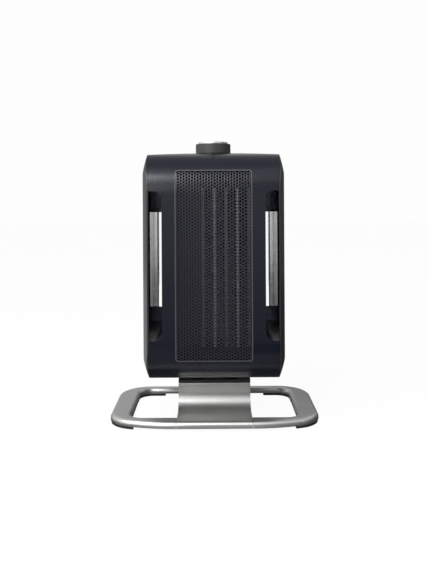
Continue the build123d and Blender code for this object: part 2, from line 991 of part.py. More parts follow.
def make_lamp():
    """Pilot lamp just under the lens."""
    y = (lens_front_y + lens_rear_y) / 2 - lens_width
    under = head_form(wall + fit_gap, wall)
    top = head_top - wall
    lamp = rod_z(0, y, top - lamp_length, top, lamp_radius)
    return lamp & under


# Heating element


def bar_left(index):
    """Left face of one element bar."""
    return element_left + index * element_bar_pitch


def make_element_bars():
    """Five upright bars that hold the heating stones."""
    bars = [slab(bar_left(i), bar_left(i) + element_bar_width, element_front, element_rear,
                 element_bottom, element_top) for i in range(element_bar_count)]
    return Compound(bars)


def make_fin_strip(index):
    """Corrugated strip between two bars."""
    left = bar_left(index) + element_bar_width
    right = bar_left(index + 1)
    count = int((element_top - element_bottom) / fin_pitch)
    near = []
    for step in range(2 * count + 1):
        x = right - fin_thickness if step % 2 else left
        near.append((x, element_bottom + step * fin_pitch / 2))
    far = [(x + fin_thickness, z) for x, z in reversed(near)]
    face = make_face(Polyline(*near, *far, close=True))
    strip = extrude(Plane.XZ * face, amount=-(element_depth - 2 * fin_recess))
    return Pos(0, element_front + fin_recess, 0) * strip


def make_element_fins():
    """Four strips of fins."""
    return Compound([make_fin_strip(i) for i in range(element_bar_count - 1)])


def terminal_places():
    """Bars that carry a connection tab."""
    return [0, 2, 4]


def terminal_slab(index, growth):
    """Tab on top of one bar."""
    x = bar_left(index) + element_half_bar
    y = (element_front + element_rear) / 2
    half_x = terminal_thickness / 2 + growth
    half_y = terminal_width / 2 + growth
    return slab(x - half_x, x + half_x, y - half_y, y + half_y,
                element_top, element_top + terminal_height + growth)


def make_terminals():
    """Connection tabs on top of the element."""
    return Compound([terminal_slab(i, 0) for i in terminal_places()])


def make_element_frame():
    """Plate and tray that hold the element behind the outlet."""
    low = element_bottom - frame_margin
    high = element_top + frame_margin
    frame = slab(-frame_half_width, frame_half_width, frame_front, element_front, low, high)
    gap = tray_gap
    outer = tray_gap + tray_wall
    tray_rear = element_rear + tray_lip + gap
    frame += slab(element_left - outer, element_right + outer, frame_front, tray_rear,
                  element_bottom - outer, element_top + outer)
    frame -= slab(element_left - gap, element_right + gap, frame_front - cut_past, element_rear + gap,
                  element_bottom - gap, element_top + gap)
    frame -= slab(element_left + tray_lip, element_right - tray_lip, frame_front, tray_rear + cut_past,
                  element_bottom + tray_lip, element_top - tray_lip)
    for index in terminal_places():
        frame -= terminal_slab(index, fit_gap)
    for x, z in boss_places():
        frame -= rod_y(x, z, frame_front - cut_past, element_front + cut_past, screw_hole_radius)
    return frame


def make_element_screws():
    """Screws that hold the element frame to the front cover."""
    screws = []
    for x, z in boss_places():
        head = rod_y(x, z, element_front, element_front + screw_head_height, screw_head_radius)
        tip = frame_front - element_screw_reach
        screws.append(head + rod_y(x, z, tip, element_front, screw_radius))
    return Compound(screws)


def make_cutout():
    """Round thermal cut-out on the back of the element frame."""
    body = rod_y(cutout_x, cutout_z, element_front, element_front + cutout_height, cutout_radius)
    rear = element_front + cutout_height
    for side in (-1, 1):
        x = cutout_x + side * cutout_radius / 2
        body += slab(x - cutout_tab_thick / 2, x + cutout_tab_thick / 2, rear,
                     rear + cutout_tab_length, cutout_z - cutout_tab_half,
                     cutout_z + cutout_tab_half)
    return body


def make_fuse():
    """Thermal fuse with its leads, lying on the element frame."""
    y = element_front + fuse_radius
    top = fuse_bottom + fuse_length
    fuse = rod_z(cutout_x, y, fuse_bottom, top, fuse_radius)
    return fuse + rod_z(cutout_x, y, fuse_bottom - fuse_lead, top + fuse_lead, fuse_lead_radius)


# Fan, duct and motor


def scroll_path():
    """Right wall of the duct and the scroll behind the fan."""
    start = (duct_right_x, element_front + fit_gap)
    turn = (duct_right_x, scroll_y)
    middle = arc_point(0, scroll_y, duct_right_x, scroll_end_deg / 2)
    end = arc_point(0, scroll_y, duct_right_x, scroll_end_deg)
    return [Line(start, turn), ThreePointArc(turn, middle, end)]


def tongue_path():
    """Left wall of the outlet, the tongue near the fan, and the left wall."""
    points = [
        (tongue_x, element_front + fit_gap),
        (tongue_x, tongue_front_y),
        (tongue_tip_x, tongue_tip_y),
        (duct_left_x, tongue_tip_y),
        (duct_left_x, duct_rear_y),
    ]
    return FilletPolyline(*points, radius=tongue_fillet)


def duct_wall_form():
    """Upright walls of the duct."""
    walls = Sketch() + [trace(edge, line_width=duct_wall) for edge in scroll_path()]
    walls += trace(tongue_path(), line_width=duct_wall)
    return Pos(0, 0, floor_under) * extrude(walls, amount=duct_ceiling - floor_under)


def duct_plate_form(bottom, top):
    """Flat plate with the duct's plan and a hole for the shaft."""
    half = duct_wall / 2
    front = element_rear + tray_lip + 2 * tray_gap
    plate = slab(duct_left_x - half, duct_right_x + half, front, duct_rear_y, bottom, top)
    return plate - rod_z(fan_x, fan_y, bottom - cut_past, top + cut_past, shaft_hole_radius)


def make_duct():
    """Scroll housing with its floor."""
    duct = duct_wall_form() + duct_plate_form(floor_under, duct_floor_top)
    return duct - upper_screw_holes()


def make_duct_lid():
    """Ceiling of the duct."""
    return duct_plate_form(duct_ceiling, lid_top)


def blade_section():
    """One bowed blade of the crossflow fan, in plan."""
    inner = fan_radius - blade_depth
    middle = fan_radius - blade_depth / 2
    arc = ThreePointArc((inner, 0), (middle, blade_bow), (fan_radius - blade_thickness, 0))
    return trace(arc, line_width=blade_thickness)


def make_impeller():
    """Crossflow fan: blades between discs, with a hub at each end."""
    blades = Sketch() + [Rot(0, 0, i * 360 / blade_count) * blade_section()
                         for i in range(blade_count)]
    drum = Pos(0, 0, fan_bottom) * extrude(blades, amount=fan_top - fan_bottom)
    step = (fan_top - fan_bottom - disc_thickness) / (disc_count - 1)
    for index in range(disc_count):
        z = fan_bottom + index * step
        disc = rod_z(0, 0, z, z + disc_thickness, fan_radius)
        if 0 < index < disc_count - 1:
            open_radius = fan_radius - blade_depth - disc_margin
            disc -= rod_z(0, 0, z - cut_past, z + disc_thickness + cut_past, open_radius)
        drum += disc
    drum += rod_z(0, 0, fan_bottom, fan_bottom + hub_length + disc_thickness, hub_radius)
    drum += rod_z(0, 0, fan_top - hub_length - disc_thickness, fan_top, hub_radius)
    drum -= rod_z(0, 0, fan_bottom - cut_past, fan_top + cut_past, shaft_radius)
    return Pos(fan_x, fan_y, 0) * drum


def make_shaft():
    """One shaft through motor and fan."""
    bottom = lower_plate_bottom - shaft_tail
    top = lid_top + bush_length + shaft_tail
    return rod_z(fan_x, fan_y, bottom, top, shaft_radius)


def bush(bottom):
    """Plain bearing round the shaft."""
    outer = rod_z(fan_x, fan_y, bottom, bottom + bush_length, bush_radius)
    bore = shaft_radius + running_clearance
    return outer - rod_z(fan_x, fan_y, bottom - cut_past, bottom + bush_length + cut_past, bore)


def make_top_bearing():
    """Bearing above the duct lid."""
    return bush(lid_top)


def make_bearing_holder():
    """Cup that holds the top bearing on the lid."""
    base = slab(fan_x - holder_half, fan_x + holder_half, fan_y - holder_half,
                fan_y + holder_half, lid_top, lid_top + holder_base)
    top = lid_top + bush_length + holder_cup_wall
    cup = rod_z(fan_x, fan_y, lid_top, top, bush_radius + holder_cup_wall)
    holder = base + cup
    holder -= rod_z(fan_x, fan_y, lid_top - cut_past, lid_top + bush_length, bush_radius)
    return holder - rod_z(fan_x, fan_y, lid_top, top + cut_past, shaft_radius + holder_play)


def make_motor_bushes():
    """Bearings in the two motor plates."""
    return Compound([bush(lower_plate_bottom), bush(floor_under - bush_length)])


def motor_screw_places():
    """Two screws that clamp the motor under the duct."""
    return [(fan_x + side * motor_screw_x, fan_y) for side in (-1, 1)]


def upper_screw_holes():
    """Screw holes in the duct floor."""
    radius = screw_hole_radius
    return Compound([rod_z(x, y, floor_under - cut_past, duct_floor_top + cut_past, radius)
                     for x, y in motor_screw_places()])


def motor_plate_form(bottom, top):
    """Steel plate with a seat for a bush and two screw holes."""
    plate = slab(fan_x - motor_plate_half_width, fan_x + motor_plate_half_width,
                 fan_y - motor_plate_half_depth, fan_y + motor_plate_half_depth, bottom, top)
    plate -= rod_z(fan_x, fan_y, bottom - cut_past, top + cut_past, bush_radius)
    radius = screw_hole_radius
    for x, y in motor_screw_places():
        plate -= rod_z(x, y, bottom - cut_past, top + cut_past, radius)
    return plate


def make_upper_plate():
    """Motor plate under the duct floor, with spacers down to the stator."""
    bottom = floor_under - motor_plate
    plate = motor_plate_form(bottom, floor_under)
    for x, y in motor_screw_places():
        spacer = rod_z(x, y, stator_top, bottom, 2 * screw_radius)
        plate += spacer - rod_z(x, y, stator_top - cut_past, bottom + cut_past, screw_hole_radius)
    return plate


def make_lower_plate():
    """Motor plate under the stator, with spacers up to it."""
    plate = motor_plate_form(lower_plate_bottom, lower_plate_top)
    for x, y in motor_screw_places():
        spacer = rod_z(x, y, lower_plate_top, stator_bottom, 2 * screw_radius)
        hole = rod_z(x, y, lower_plate_bottom, stator_bottom + cut_past, screw_hole_radius)
        plate += spacer - hole
    return plate


def make_stator():
    """Laminated core with the rotor bore and a leg for the coil."""
    core = slab(stator_left_x, stator_right_x, fan_y - stator_half_depth,
                fan_y + stator_half_depth, stator_bottom, stator_top)
    core = fillet(core.edges().filter_by(Axis.Z), stator_corner)
    low = stator_bottom - 1
    high = stator_top + 1
    core -= rod_z(fan_x, fan_y, low, high, rotor_radius + air_gap)
    core -= slab(core_window_left_x, core_leg_x, fan_y - core_window_half,
                 fan_y + core_window_half, low, high)
    for x, y in motor_screw_places():
        core -= rod_z(x, y, low, high, screw_hole_radius)
    return core


def make_coil():
    """Winding round the leg of the core."""
    gap = core_clearance
    half = core_window_half - coil_margin
    wound = slab(core_leg_x - coil_wall, stator_right_x + coil_wall, fan_y - half, fan_y + half,
                 stator_bottom - coil_end, stator_top + coil_end)
    wound = fillet(wound.edges().filter_by(Axis.Y), coil_wall / 2)
    leg = slab(core_leg_x - gap, stator_right_x + gap, fan_y - half - cut_past, fan_y + half + cut_past,
               stator_bottom - gap, stator_top + gap)
    return wound - leg


def make_rotor():
    """Rotor on the fan shaft."""
    rotor = rod_z(fan_x, fan_y, stator_bottom + air_gap, stator_top - air_gap, rotor_radius)
    return rotor - rod_z(fan_x, fan_y, stator_bottom, stator_top, shaft_radius)


def make_motor_screws():
    """Two long screws from below through the motor into the duct floor."""
    return Compound([screw_z(x, y, lower_plate_bottom, duct_floor_top - fit_gap)
                     for x, y in motor_screw_places()])


# Control


def make_switch():
    """Rotary switch under the top, with its threaded bush."""
    top = switch_body_top
    body = slab(-switch_half_width, switch_half_width, switch_y - switch_half_depth,
                switch_y + switch_half_depth, top - switch_height, top)
    body = fillet(body.edges().filter_by(Axis.Z), switch_corner)
    bush_top = head_top + nut_height + fit_gap
    body += rod_z(0, switch_y, top - cut_past, bush_top, switch_bush_radius)
    bore = spindle_radius + running_clearance
    return body - rod_z(0, switch_y, top - switch_height / 2, head_top + roll_radius, bore)


def make_nut():
    """Hexagon nut that holds the switch in the top."""
    bottom = head_top + snug_gap
    nut = Pos(0, switch_y, bottom) * extrude(RegularPolygon(nut_radius, 6), amount=nut_height)
    over = bottom + nut_height + cut_past
    return nut - rod_z(0, switch_y, bottom - cut_past, over, switch_bush_radius)


def make_spindle():
    """Spindle between switch and knob."""
    bottom = switch_body_top - switch_height / 2 + fit_gap
    return rod_z(0, switch_y, bottom, spindle_top, spindle_radius)


def make_knob():
    """Round knob, hollow underneath, with a hub on the spindle."""
    knob = rod_z(0, switch_y, knob_bottom, knob_body_top, knob_radius)
    knob = fillet(knob.edges().sort_by(Axis.Z)[-1], knob_edge_radius)
    recess = knob_body_top - cap_recess
    hollow = rod_z(0, switch_y, knob_bottom - cut_past, recess - knob_wall,
                   knob_radius - knob_wall)
    knob -= hollow
    knob += rod_z(0, switch_y, knob_bottom + knob_hub_rise, recess - fit_gap, knob_hub_radius)
    knob -= rod_z(0, switch_y, recess, knob_body_top + cut_past, cap_radius + snug_gap)
    return knob - rod_z(0, switch_y, knob_bottom, spindle_top, spindle_radius)


def make_cap():
    """Bright cap let into the top of the knob."""
    cap = rod_z(0, switch_y, knob_body_top - cap_recess, cap_top, cap_radius)
    cap = fillet(cap.edges().sort_by(Axis.Z)[-1], cap_edge_radius)
    return cap - pointer_form(0)


def pointer_form(shrink):
    """Groove for the pointer line in the cap."""
    half = pointer_width / 2 - shrink
    return slab(-half, half, switch_y - pointer_outer + shrink, switch_y - pointer_inner - shrink,
                cap_top - pointer_depth, cap_top)


def make_pointer():
    """Coloured pointer line in the cap."""
    return pointer_form(running_clearance)


# Tip-over switch, terminal block, gland and wires


def tip_base():
    """Seat of the tip-over switch."""
    return seat_z(tip_x + tip_half_width)


def block_base():
    """Seat of the terminal block."""
    return seat_z(abs(block_x) + block_half_width)


def make_tip_frame():
    """Frame that the pendulum hangs in."""
    base = tip_base()
    top = base + tip_height
    left = tip_x - tip_half_width
    right = tip_x + tip_half_width
    front = tip_y - tip_half_depth
    rear = tip_y + tip_half_depth
    frame = slab(left, right, front, rear, base, base + tip_plate)
    frame += slab(left, right, front, rear, top - tip_plate, top)
    frame += slab(left, left + tip_plate, front, rear, base, top)
    frame += slab(right - tip_plate, right, front, rear, base, top)
    pivot_z = base + tip_pivot_rise
    return frame - rod_x(tip_y, pivot_z, left - cut_past, right + cut_past, tip_pivot_radius)


def make_tip_pin():
    """Pivot pin of the pendulum."""
    z = tip_base() + tip_pivot_rise
    return rod_x(tip_y, z, tip_x - tip_half_width, tip_x + tip_half_width, tip_pivot_radius)


def make_pendulum():
    """Brass bob on an arm, hung on the pivot pin."""
    pivot_z = tip_base() + tip_pivot_rise
    half = arm_width / 2
    bob_top = pivot_z - bob_drop + bob_height / 2
    arm = slab(tip_x - half, tip_x + half, tip_y - half, tip_y + half, bob_top - cut_past, pivot_z)
    arm += rod_x(tip_y, pivot_z, tip_x - half, tip_x + half, 2 * tip_pivot_radius)
    bob = rod_z(tip_x, tip_y, bob_top - bob_height, bob_top, bob_radius)
    hole = rod_x(tip_y, pivot_z, tip_x - arm_width, tip_x + arm_width,
                 tip_pivot_radius + running_clearance)
    return arm + bob - hole


def make_terminal_block():
    """Terminal block on the head's floor."""
    base = block_base()
    top = base + block_height
    block = slab(block_x - block_half_width, block_x + block_half_width, -block_half_length,
                 block_half_length, base, top)
    pitch = 2 * block_half_length / block_poles
    for index in range(block_poles):
        y = -block_half_length + (index + 0.5) * pitch
        block -= rod_z(block_x, y, base + block_height / 2, top + cut_past, block_hole_radius)
    return block


def make_gland():
    """Rubber sleeve where the mains lead enters."""
    gland = rod_y(gland_x, gland_z, gland_inner_y, gland_outer_y, gland_radius)
    outer_face = gland.edges().sort_by(Axis.Y)[-1]
    gland = fillet(outer_face, gland_edge_radius)
    front = gland_inner_y - cut_past
    return gland - rod_y(gland_x, gland_z, front, gland_outer_y + cut_past, gland_bore)


def wire(points):
    """One insulated wire through rounded corners."""
    path = FilletPolyline(*points, radius=wire_bend)
    profile = Plane(origin=path @ 0, z_dir=path % 0) * Circle(wire_radius)
    return sweep(profile, path=path)


def switch_wires():
    """Wires from the terminal block up the left side to the switch."""
    block_top = block_base() + block_height
    lane_top = lid_top + 2 * wire_bend
    pitch = 2 * block_half_length / block_poles
    wires = []
    for index in (0, 1):
        y = index * pitch
        near_y = switch_y + index * 3 * wire_radius - wire_bend
        wires.append(wire([
            (wire_lane_x, y, block_top),
            (wire_lane_x, y, lane_top),
            (-switch_half_width - 2 * wire_bend, near_y, switch_wire_z),
            (-switch_half_width, near_y, switch_wire_z),
        ]))
    return wires


def element_wires():
    """Wires from the switch to the element, and from the element to the cut-out."""
    y = (element_front + element_rear) / 2
    tab_top = element_top + terminal_height
    far_x = bar_left(4) + element_half_bar
    mid_x = bar_left(2) + element_half_bar
    near_x = bar_left(0) + element_half_bar
    tab_x = cutout_x - cutout_radius / 2
    tab_y = element_front + cutout_height + cutout_tab_length / 2
    tab_z = cutout_z + cutout_tab_half
    over_z = tab_top + 2 * wire_bend
    side_y = switch_y - switch_half_depth / 2
    front_y = switch_y - switch_half_depth
    return [
        wire([(switch_half_width, side_y, switch_wire_z),
              (far_x - 2 * wire_bend, side_y, switch_wire_z),
              (far_x, y, switch_wire_z), (far_x, y, tab_top)]),
        wire([(switch_half_width / 2, front_y, switch_wire_z),
              (switch_half_width / 2, front_y - 2 * wire_bend, switch_wire_z),
              (mid_x, y, over_z), (mid_x, y, tab_top)]),
        wire([(near_x, y, tab_top), (near_x, y, over_z),
              (tab_x, tab_y, over_z), (tab_x, tab_y, tab_z)]),
    ]


def motor_wire():
    """Wire from the terminal block round the hinge to the motor coil."""
    low_z = block_base() + block_height / 2
    start_x = block_x + block_half_width
    start_y = -block_half_length / 2
    front_y = -bracket_half_depth - 3 * wire_bend
    side_x = tip_x - tip_half_width - wire_radius - fit_gap
    coil_z = (stator_bottom + stator_top) / 2
    return wire([
        (start_x, start_y, low_z),
        (start_x + 1.5 * wire_bend, start_y, low_z),
        (start_x + 3 * wire_bend, front_y, low_z),
        (side_x, front_y, coil_z),
        (side_x, fan_y, coil_z),
        (stator_right_x + coil_wall, fan_y, coil_z),
    ])


def mains_wire():
    """Wire from the gland to the terminal block."""
    low_z = block_base() + block_height / 2
    return wire([
        (gland_x, gland_inner_y, gland_z),
        (gland_x, gland_inner_y - 2 * wire_bend, gland_z),
        (block_x, block_half_length + 3 * wire_bend, low_z),
        (block_x, block_half_length, low_z),
    ])


def make_wires():
    """All insulated wires inside the head."""
    return Compound(switch_wires() + element_wires() + [motor_wire(), mains_wire()])


def main():
    """Write every node of the heater."""
    save("stand_ring", make_ring())
    save("stand_strap", make_strap())
    save("joiner_bar", make_joiner())
    save("stand_screws", make_stand_screws())
    for end, front in (("front", True), ("rear", False)):
        foot = make_foot(front)
        save("foot_" + end + "_right", foot)
        save("foot_" + end + "_left", mirrored(foot))
    save("neck_block", make_neck_block())
    save("neck_screws", make_neck_screws())
    save("hinge_bracket", make_hinge_bracket())
    save("tilt_pin", make_tilt_pin())
    save("friction_washers", make_washers())
    save("front_cover", make_front_cover())
    save("rear_cover", make_rear_cover())
    for name, shape in (("side_cover", make_side_cover()),
                        ("channel_liner", make_channel_liner()),
                        ("channel_trim", make_channel_trim())):
        save(name + "_right", shape)
        save(name + "_left", mirrored(shape))
    save("cover_screws", make_cover_screws())
    save("grille_frame", make_grille_frame())
    save("front_grille", make_front_grille())
    save("intake_grille", make_intake_grille())
    save("dust_filter", make_filter())
    save("pilot_lens", make_lens())
    save("pilot_lamp", make_lamp())
    save("element_bars", make_element_bars())
    save("element_fins", make_element_fins())
    save("element_terminals", make_terminals())
    save("element_frame", make_element_frame())
    save("element_screws", make_element_screws())
    save("thermal_cutout", make_cutout())
    save("thermal_fuse", make_fuse())
    save("air_duct", make_duct())
    save("duct_lid", make_duct_lid())
    save("fan_impeller", make_impeller())
    save("fan_shaft", make_shaft())
    save("top_bearing", make_top_bearing())
    save("bearing_holder", make_bearing_holder())
    save("motor_bushes", make_motor_bushes())
    save("motor_upper_plate", make_upper_plate())
    save("motor_lower_plate", make_lower_plate())
    save("motor_stator", make_stator())
    save("motor_coil", make_coil())
    save("motor_rotor", make_rotor())
    save("motor_screws", make_motor_screws())
    save("rotary_switch", make_switch())
    save("switch_nut", make_nut())
    save("switch_spindle", make_spindle())
    save("control_knob", make_knob())
    save("knob_cap", make_cap())
    save("knob_pointer", make_pointer())
    save("tip_switch_frame", make_tip_frame())
    save("tip_pivot_pin", make_tip_pin())
    save("tip_pendulum", make_pendulum())
    save("terminal_block", make_terminal_block())
    save("cord_gland", make_gland())
    save("internal_wires", make_wires())


main()
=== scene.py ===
"""Looks of an upright fan heater on a metal ring stand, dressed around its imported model.

X runs to the right as seen from the front, Y to the back and Z up, all in metres.
"""

import logging
import math
from dataclasses import dataclass
from enum import Enum
from typing import Mapping, Sequence, Union

import bmesh
import bpy
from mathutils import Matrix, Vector

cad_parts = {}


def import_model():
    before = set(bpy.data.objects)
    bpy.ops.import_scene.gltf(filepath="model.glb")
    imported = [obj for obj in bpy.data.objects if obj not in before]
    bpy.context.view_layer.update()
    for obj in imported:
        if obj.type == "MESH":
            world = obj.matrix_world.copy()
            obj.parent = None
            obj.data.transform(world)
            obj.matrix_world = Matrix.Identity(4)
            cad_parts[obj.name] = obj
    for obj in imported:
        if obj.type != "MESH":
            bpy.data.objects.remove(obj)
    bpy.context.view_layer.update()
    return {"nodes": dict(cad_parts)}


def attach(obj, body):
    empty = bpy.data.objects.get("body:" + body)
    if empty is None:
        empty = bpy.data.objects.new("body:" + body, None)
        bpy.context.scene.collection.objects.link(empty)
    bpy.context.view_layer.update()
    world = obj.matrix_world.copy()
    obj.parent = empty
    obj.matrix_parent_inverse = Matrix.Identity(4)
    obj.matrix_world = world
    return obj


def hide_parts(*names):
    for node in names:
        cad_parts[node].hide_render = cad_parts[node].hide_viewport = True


LOG = logging.getLogger("fan_heater")
MM = 0.001
WHITE = (1.0, 1.0, 1.0, 1.0)
MIDDLE = 0.5  # the value that noise lies round
WAVE_FACTOR = 20.0  # the Wave node multiplies its place by this
Colour = tuple[float, float, float]
Point = tuple[float, float, float]


class Grain(Enum):
    """Direction in which a metal is brushed, as how fast its grain changes on each axis."""

    ALONG_X = (0.02, 1.0, 1.0)
    ALONG_Y = (1.0, 0.02, 1.0)
    ALONG_Z = (1.0, 1.0, 0.02)
    NONE = (1.0, 1.0, 1.0)


class Stack(Enum):
    """Axis across which thin layers or turns lie on each other."""

    ACROSS_X = "X"
    ACROSS_Y = "Y"
    ACROSS_Z = "Z"


class Term:
    """Output of a shader node, with the usual operators for its maths."""

    def __init__(self, shader: "Shader", socket: bpy.types.NodeSocket) -> None:
        """Keep the node's output.

        Args:
            shader: the material that the node is in.
            socket: the output itself.
        """
        self.shader = shader
        self.socket = socket

    def _maths(self, operation: str, first: "Operand", second: "Operand") -> "Term":
        """Add one Math node.

        Args:
            operation: the node's operation.
            first: what goes in at the top.
            second: what goes in below it.

        Returns:
            The node's value.
        """
        return self.shader.node("ShaderNodeMath", {"operation": operation}, {0: first, 1: second})

    def __add__(self, other: "Operand") -> "Term":
        """Sum."""
        return self._maths("ADD", self, other)

    def __radd__(self, other: "Operand") -> "Term":
        """Sum, with the number first."""
        return self._maths("ADD", other, self)

    def __sub__(self, other: "Operand") -> "Term":
        """Difference."""
        return self._maths("SUBTRACT", self, other)

    def __rsub__(self, other: "Operand") -> "Term":
        """Difference, with the number first."""
        return self._maths("SUBTRACT", other, self)

    def __mul__(self, other: "Operand") -> "Term":
        """Product."""
        return self._maths("MULTIPLY", self, other)

    def __rmul__(self, other: "Operand") -> "Term":
        """Product, with the number first."""
        return self._maths("MULTIPLY", other, self)

    def most(self, other: "Operand") -> "Term":
        """The larger of two values."""
        return self._maths("MAXIMUM", self, other)

    def swing(self, width: float) -> "Term":
        """Noise brought round zero, and this wide."""
        return (self - MIDDLE) * width


Operand = Union[Term, float]


class Shader:
    """One material, built from nodes on the object's own coordinates."""

    def __init__(self, owner: bpy.types.Material | bpy.types.World) -> None:
        """Start an empty node tree.

        Args:
            owner: the material or world that is built.
        """
        owner.use_nodes = True
        self.owner = owner
        self.tree = owner.node_tree
        self.tree.nodes.clear()

    @classmethod
    def named(cls, name: str) -> "Shader":
        """A new material with this name."""
        return cls(bpy.data.materials.new(name))

    def node(
        self,
        kind: str,
        settings: Mapping[str, object] | None = None,
        inputs: Mapping[Union[int, str], object] | None = None,
        output: Union[int, str] = 0,
    ) -> Term:
        """Add one node.

        Args:
            kind: the node's type.
            settings: its own properties, such as a Math node's operation.
            inputs: a value or a link for each named or numbered socket.
            output: which of its outputs to hand back.

        Returns:
            That output.
        """
        made = self.tree.nodes.new(kind)
        for key, value in (settings or {}).items():
            setattr(made, key, value)
        for key, value in (inputs or {}).items():
            if isinstance(value, Term):
                self.tree.links.new(value.socket, made.inputs[key])
            else:
                made.inputs[key].default_value = value
        return Term(self, made.outputs[output] if made.outputs else None)

    def place(self, scale: Point = (1.0, 1.0, 1.0)) -> Term:
        """Point on the surface in the object's own coordinates.

        Args:
            scale: how much each axis is stretched.

        Returns:
            The point.
        """
        point = self.node("ShaderNodeTexCoord", output="Object")
        return self.node("ShaderNodeMapping", inputs={"Vector": point, "Scale": scale})

    def noise(self, size: float, detail: float = 2.0, grain: Grain = Grain.NONE) -> Term:
        """Soft random pattern.

        Args:
            size: distance between its spots.
            detail: how many finer layers it has.
            grain: direction in which it is drawn out.

        Returns:
            A value round one half.
        """
        return self.node(
            "ShaderNodeTexNoise",
            inputs={
                "Vector": self.place(grain.value),
                "Scale": 1.0 / size,
                "Detail": detail,
                "Roughness": 0.55,
            },
        )

    def bands(self, pitch: float, axis: Stack, middle: float = 0.0) -> Term:
        """Even bands across one axis.

        Args:
            pitch: distance from band to band.
            axis: the axis that they follow each other on.
            middle: place of one band's middle on that axis.

        Returns:
            A value from 0 to 1.
        """
        turns = math.tau / WAVE_FACTOR
        phase = math.pi - math.tau * middle / pitch
        return self.node(
            "ShaderNodeTexWave",
            {"wave_type": "BANDS", "bands_direction": axis.value},
            {"Vector": self.place(), "Scale": turns / pitch, "Phase Offset": phase},
            output="Fac",
        )

    def blend(self, share: Operand, first: object, second: object) -> Term:
        """Mix of two colours.

        Args:
            share: how much there is of the second.
            first: a colour, or a link to one.
            second: a colour, or a link to one.

        Returns:
            The mixed colour.
        """
        pick = {
            6: first if isinstance(first, Term) else (*first, 1.0),
            7: second if isinstance(second, Term) else (*second, 1.0),
            0: share,
        }
        return self.node("ShaderNodeMix", {"data_type": "RGBA"}, pick, output=2)

    def toned(self, share: Operand, colour: Colour, dark: float, light: float) -> Term:
        """Colour that runs from a darker to a lighter tone of itself.

        Args:
            share: how far it has run.
            colour: the colour.
            dark: brightness of the darker tone, where 1 is the colour itself.
            light: brightness of the lighter tone.

        Returns:
            The colour.
        """
        return self.blend(share, scaled(colour, dark), scaled(colour, light))

    def bump(self, height: Term, depth: float, under: Term | None = None) -> Term:
        """Relief on the surface.

        Args:
            height: the pattern.
            depth: how deep it goes, in metres.
            under: a coarser relief below this one.

        Returns:
            The surface's direction.
        """
        inputs: dict[Union[int, str], object] = {"Height": height, "Distance": depth}
        if under is not None:
            inputs["Normal"] = under
        return self.node("ShaderNodeBump", inputs=inputs)

    def surface(self, sockets: Mapping[str, object]) -> bpy.types.Material:
        """Close the material with a Principled surface.

        Args:
            sockets: a value or a link for each of its sockets.

        Returns:
            The finished material.
        """
        shell = self.node("ShaderNodeBsdfPrincipled", inputs=sockets)
        self.node("ShaderNodeOutputMaterial", inputs={"Surface": shell})
        return self.owner


def scaled(colour: Colour, share: float) -> Colour:
    """A lighter or darker tone of a colour."""
    return tuple(min(1.0, channel * share) for channel in colour)


@dataclass(frozen=True)
class Moulded:
    """Moulded plastic or rubber.

    Attributes:
        name: the material's name.
        colour: its colour.
        roughness: how matte it is.
        grain: size of the mould's texture, in metres.
        relief: depth of that texture, in metres.
        handling: how much its gloss changes over the surface.
        tone: how much its colour changes over the surface.
        shine: how strongly it reflects, where 0.5 is plain plastic.
        painted_front_light: pale colour painted on the faces that look to the front, painted light
            that stands in for light reaching them, where it is given.
        polish: how much glossier those faces then are.
        cloud: distance between handled spots, in metres.
    """

    name: str
    colour: Colour
    roughness: float
    grain: float = 0.6 * MM
    relief: float = 0.01 * MM
    handling: float = 0.1
    tone: float = 0.12
    shine: float = 0.5
    painted_front_light: Colour | None = None
    polish: float = 0.0
    cloud: float = 35 * MM

    def material(self) -> bpy.types.Material:
        """Make the material.

        Returns:
            The material.
        """
        shader = Shader.named(self.name)
        cloud = shader.noise(self.cloud, detail=3.0)
        fine = shader.noise(self.grain)
        colour = shader.toned(cloud, self.colour, dark=1.0 - self.tone, light=1.0 + self.tone)
        gloss = self.roughness + cloud.swing(self.handling) + fine.swing(self.handling)
        # Painted light: faces that look to the front are blended towards a pale colour.
        if self.painted_front_light:
            facing = shader.node("ShaderNodeTexCoord", output="Normal")
            split = shader.node("ShaderNodeSeparateXYZ", inputs={0: facing}, output="Y")
            front_lit_share = (0.0 - split).most(0.0)
            gloss = gloss - front_lit_share * self.polish
            colour = shader.blend(front_lit_share, colour, self.painted_front_light)
        return shader.surface(
            {
                "Base Color": colour,
                "Roughness": gloss,
                "Specular IOR Level": self.shine,
                "Normal": shader.bump(fine, self.relief),
            }
        )


@dataclass(frozen=True)
class Metal:
    """Bare, brushed, drawn or plated metal.

    Attributes:
        name: the material's name.
        colour: its colour.
        roughness: how satin it is.
        grain: direction in which it is brushed.
        streak: width of a brush mark, in metres.
        relief: depth of a brush mark, in metres.
        uneven: how much its gloss changes from mark to mark.
        tint: colour that it takes in patches, such as from heat or handling.
        patch: distance between those patches, in metres.
        dull: how much rougher or smoother a patch is.
        dark: brightness where it is darkest, where 1 is the colour itself.
        light: brightness where it is lightest.
    """

    name: str
    colour: Colour
    roughness: float
    grain: Grain = Grain.NONE
    streak: float = 0.3 * MM
    relief: float = 0.004 * MM
    uneven: float = 0.15
    tint: Colour | None = None
    patch: float = 30 * MM
    dull: float = 0.08
    dark: float = 0.9
    light: float = 1.06

    def material(self) -> bpy.types.Material:
        """Make the material.

        Returns:
            The material.
        """
        shader = Shader.named(self.name)
        marks = shader.noise(self.streak, detail=3.0, grain=self.grain)
        patch = shader.noise(self.patch, detail=3.0)
        dark, light = scaled(self.tint or self.colour, self.dark), scaled(self.colour, self.light)
        colour = shader.blend((marks + patch) * 0.5, dark, light)
        gloss = self.roughness + marks.swing(self.uneven) + patch.swing(self.dull)
        return shader.surface(
            {
                "Base Color": colour,
                "Metallic": 1.0,
                "Roughness": gloss,
                "Normal": shader.bump(marks, self.relief),
            }
        )


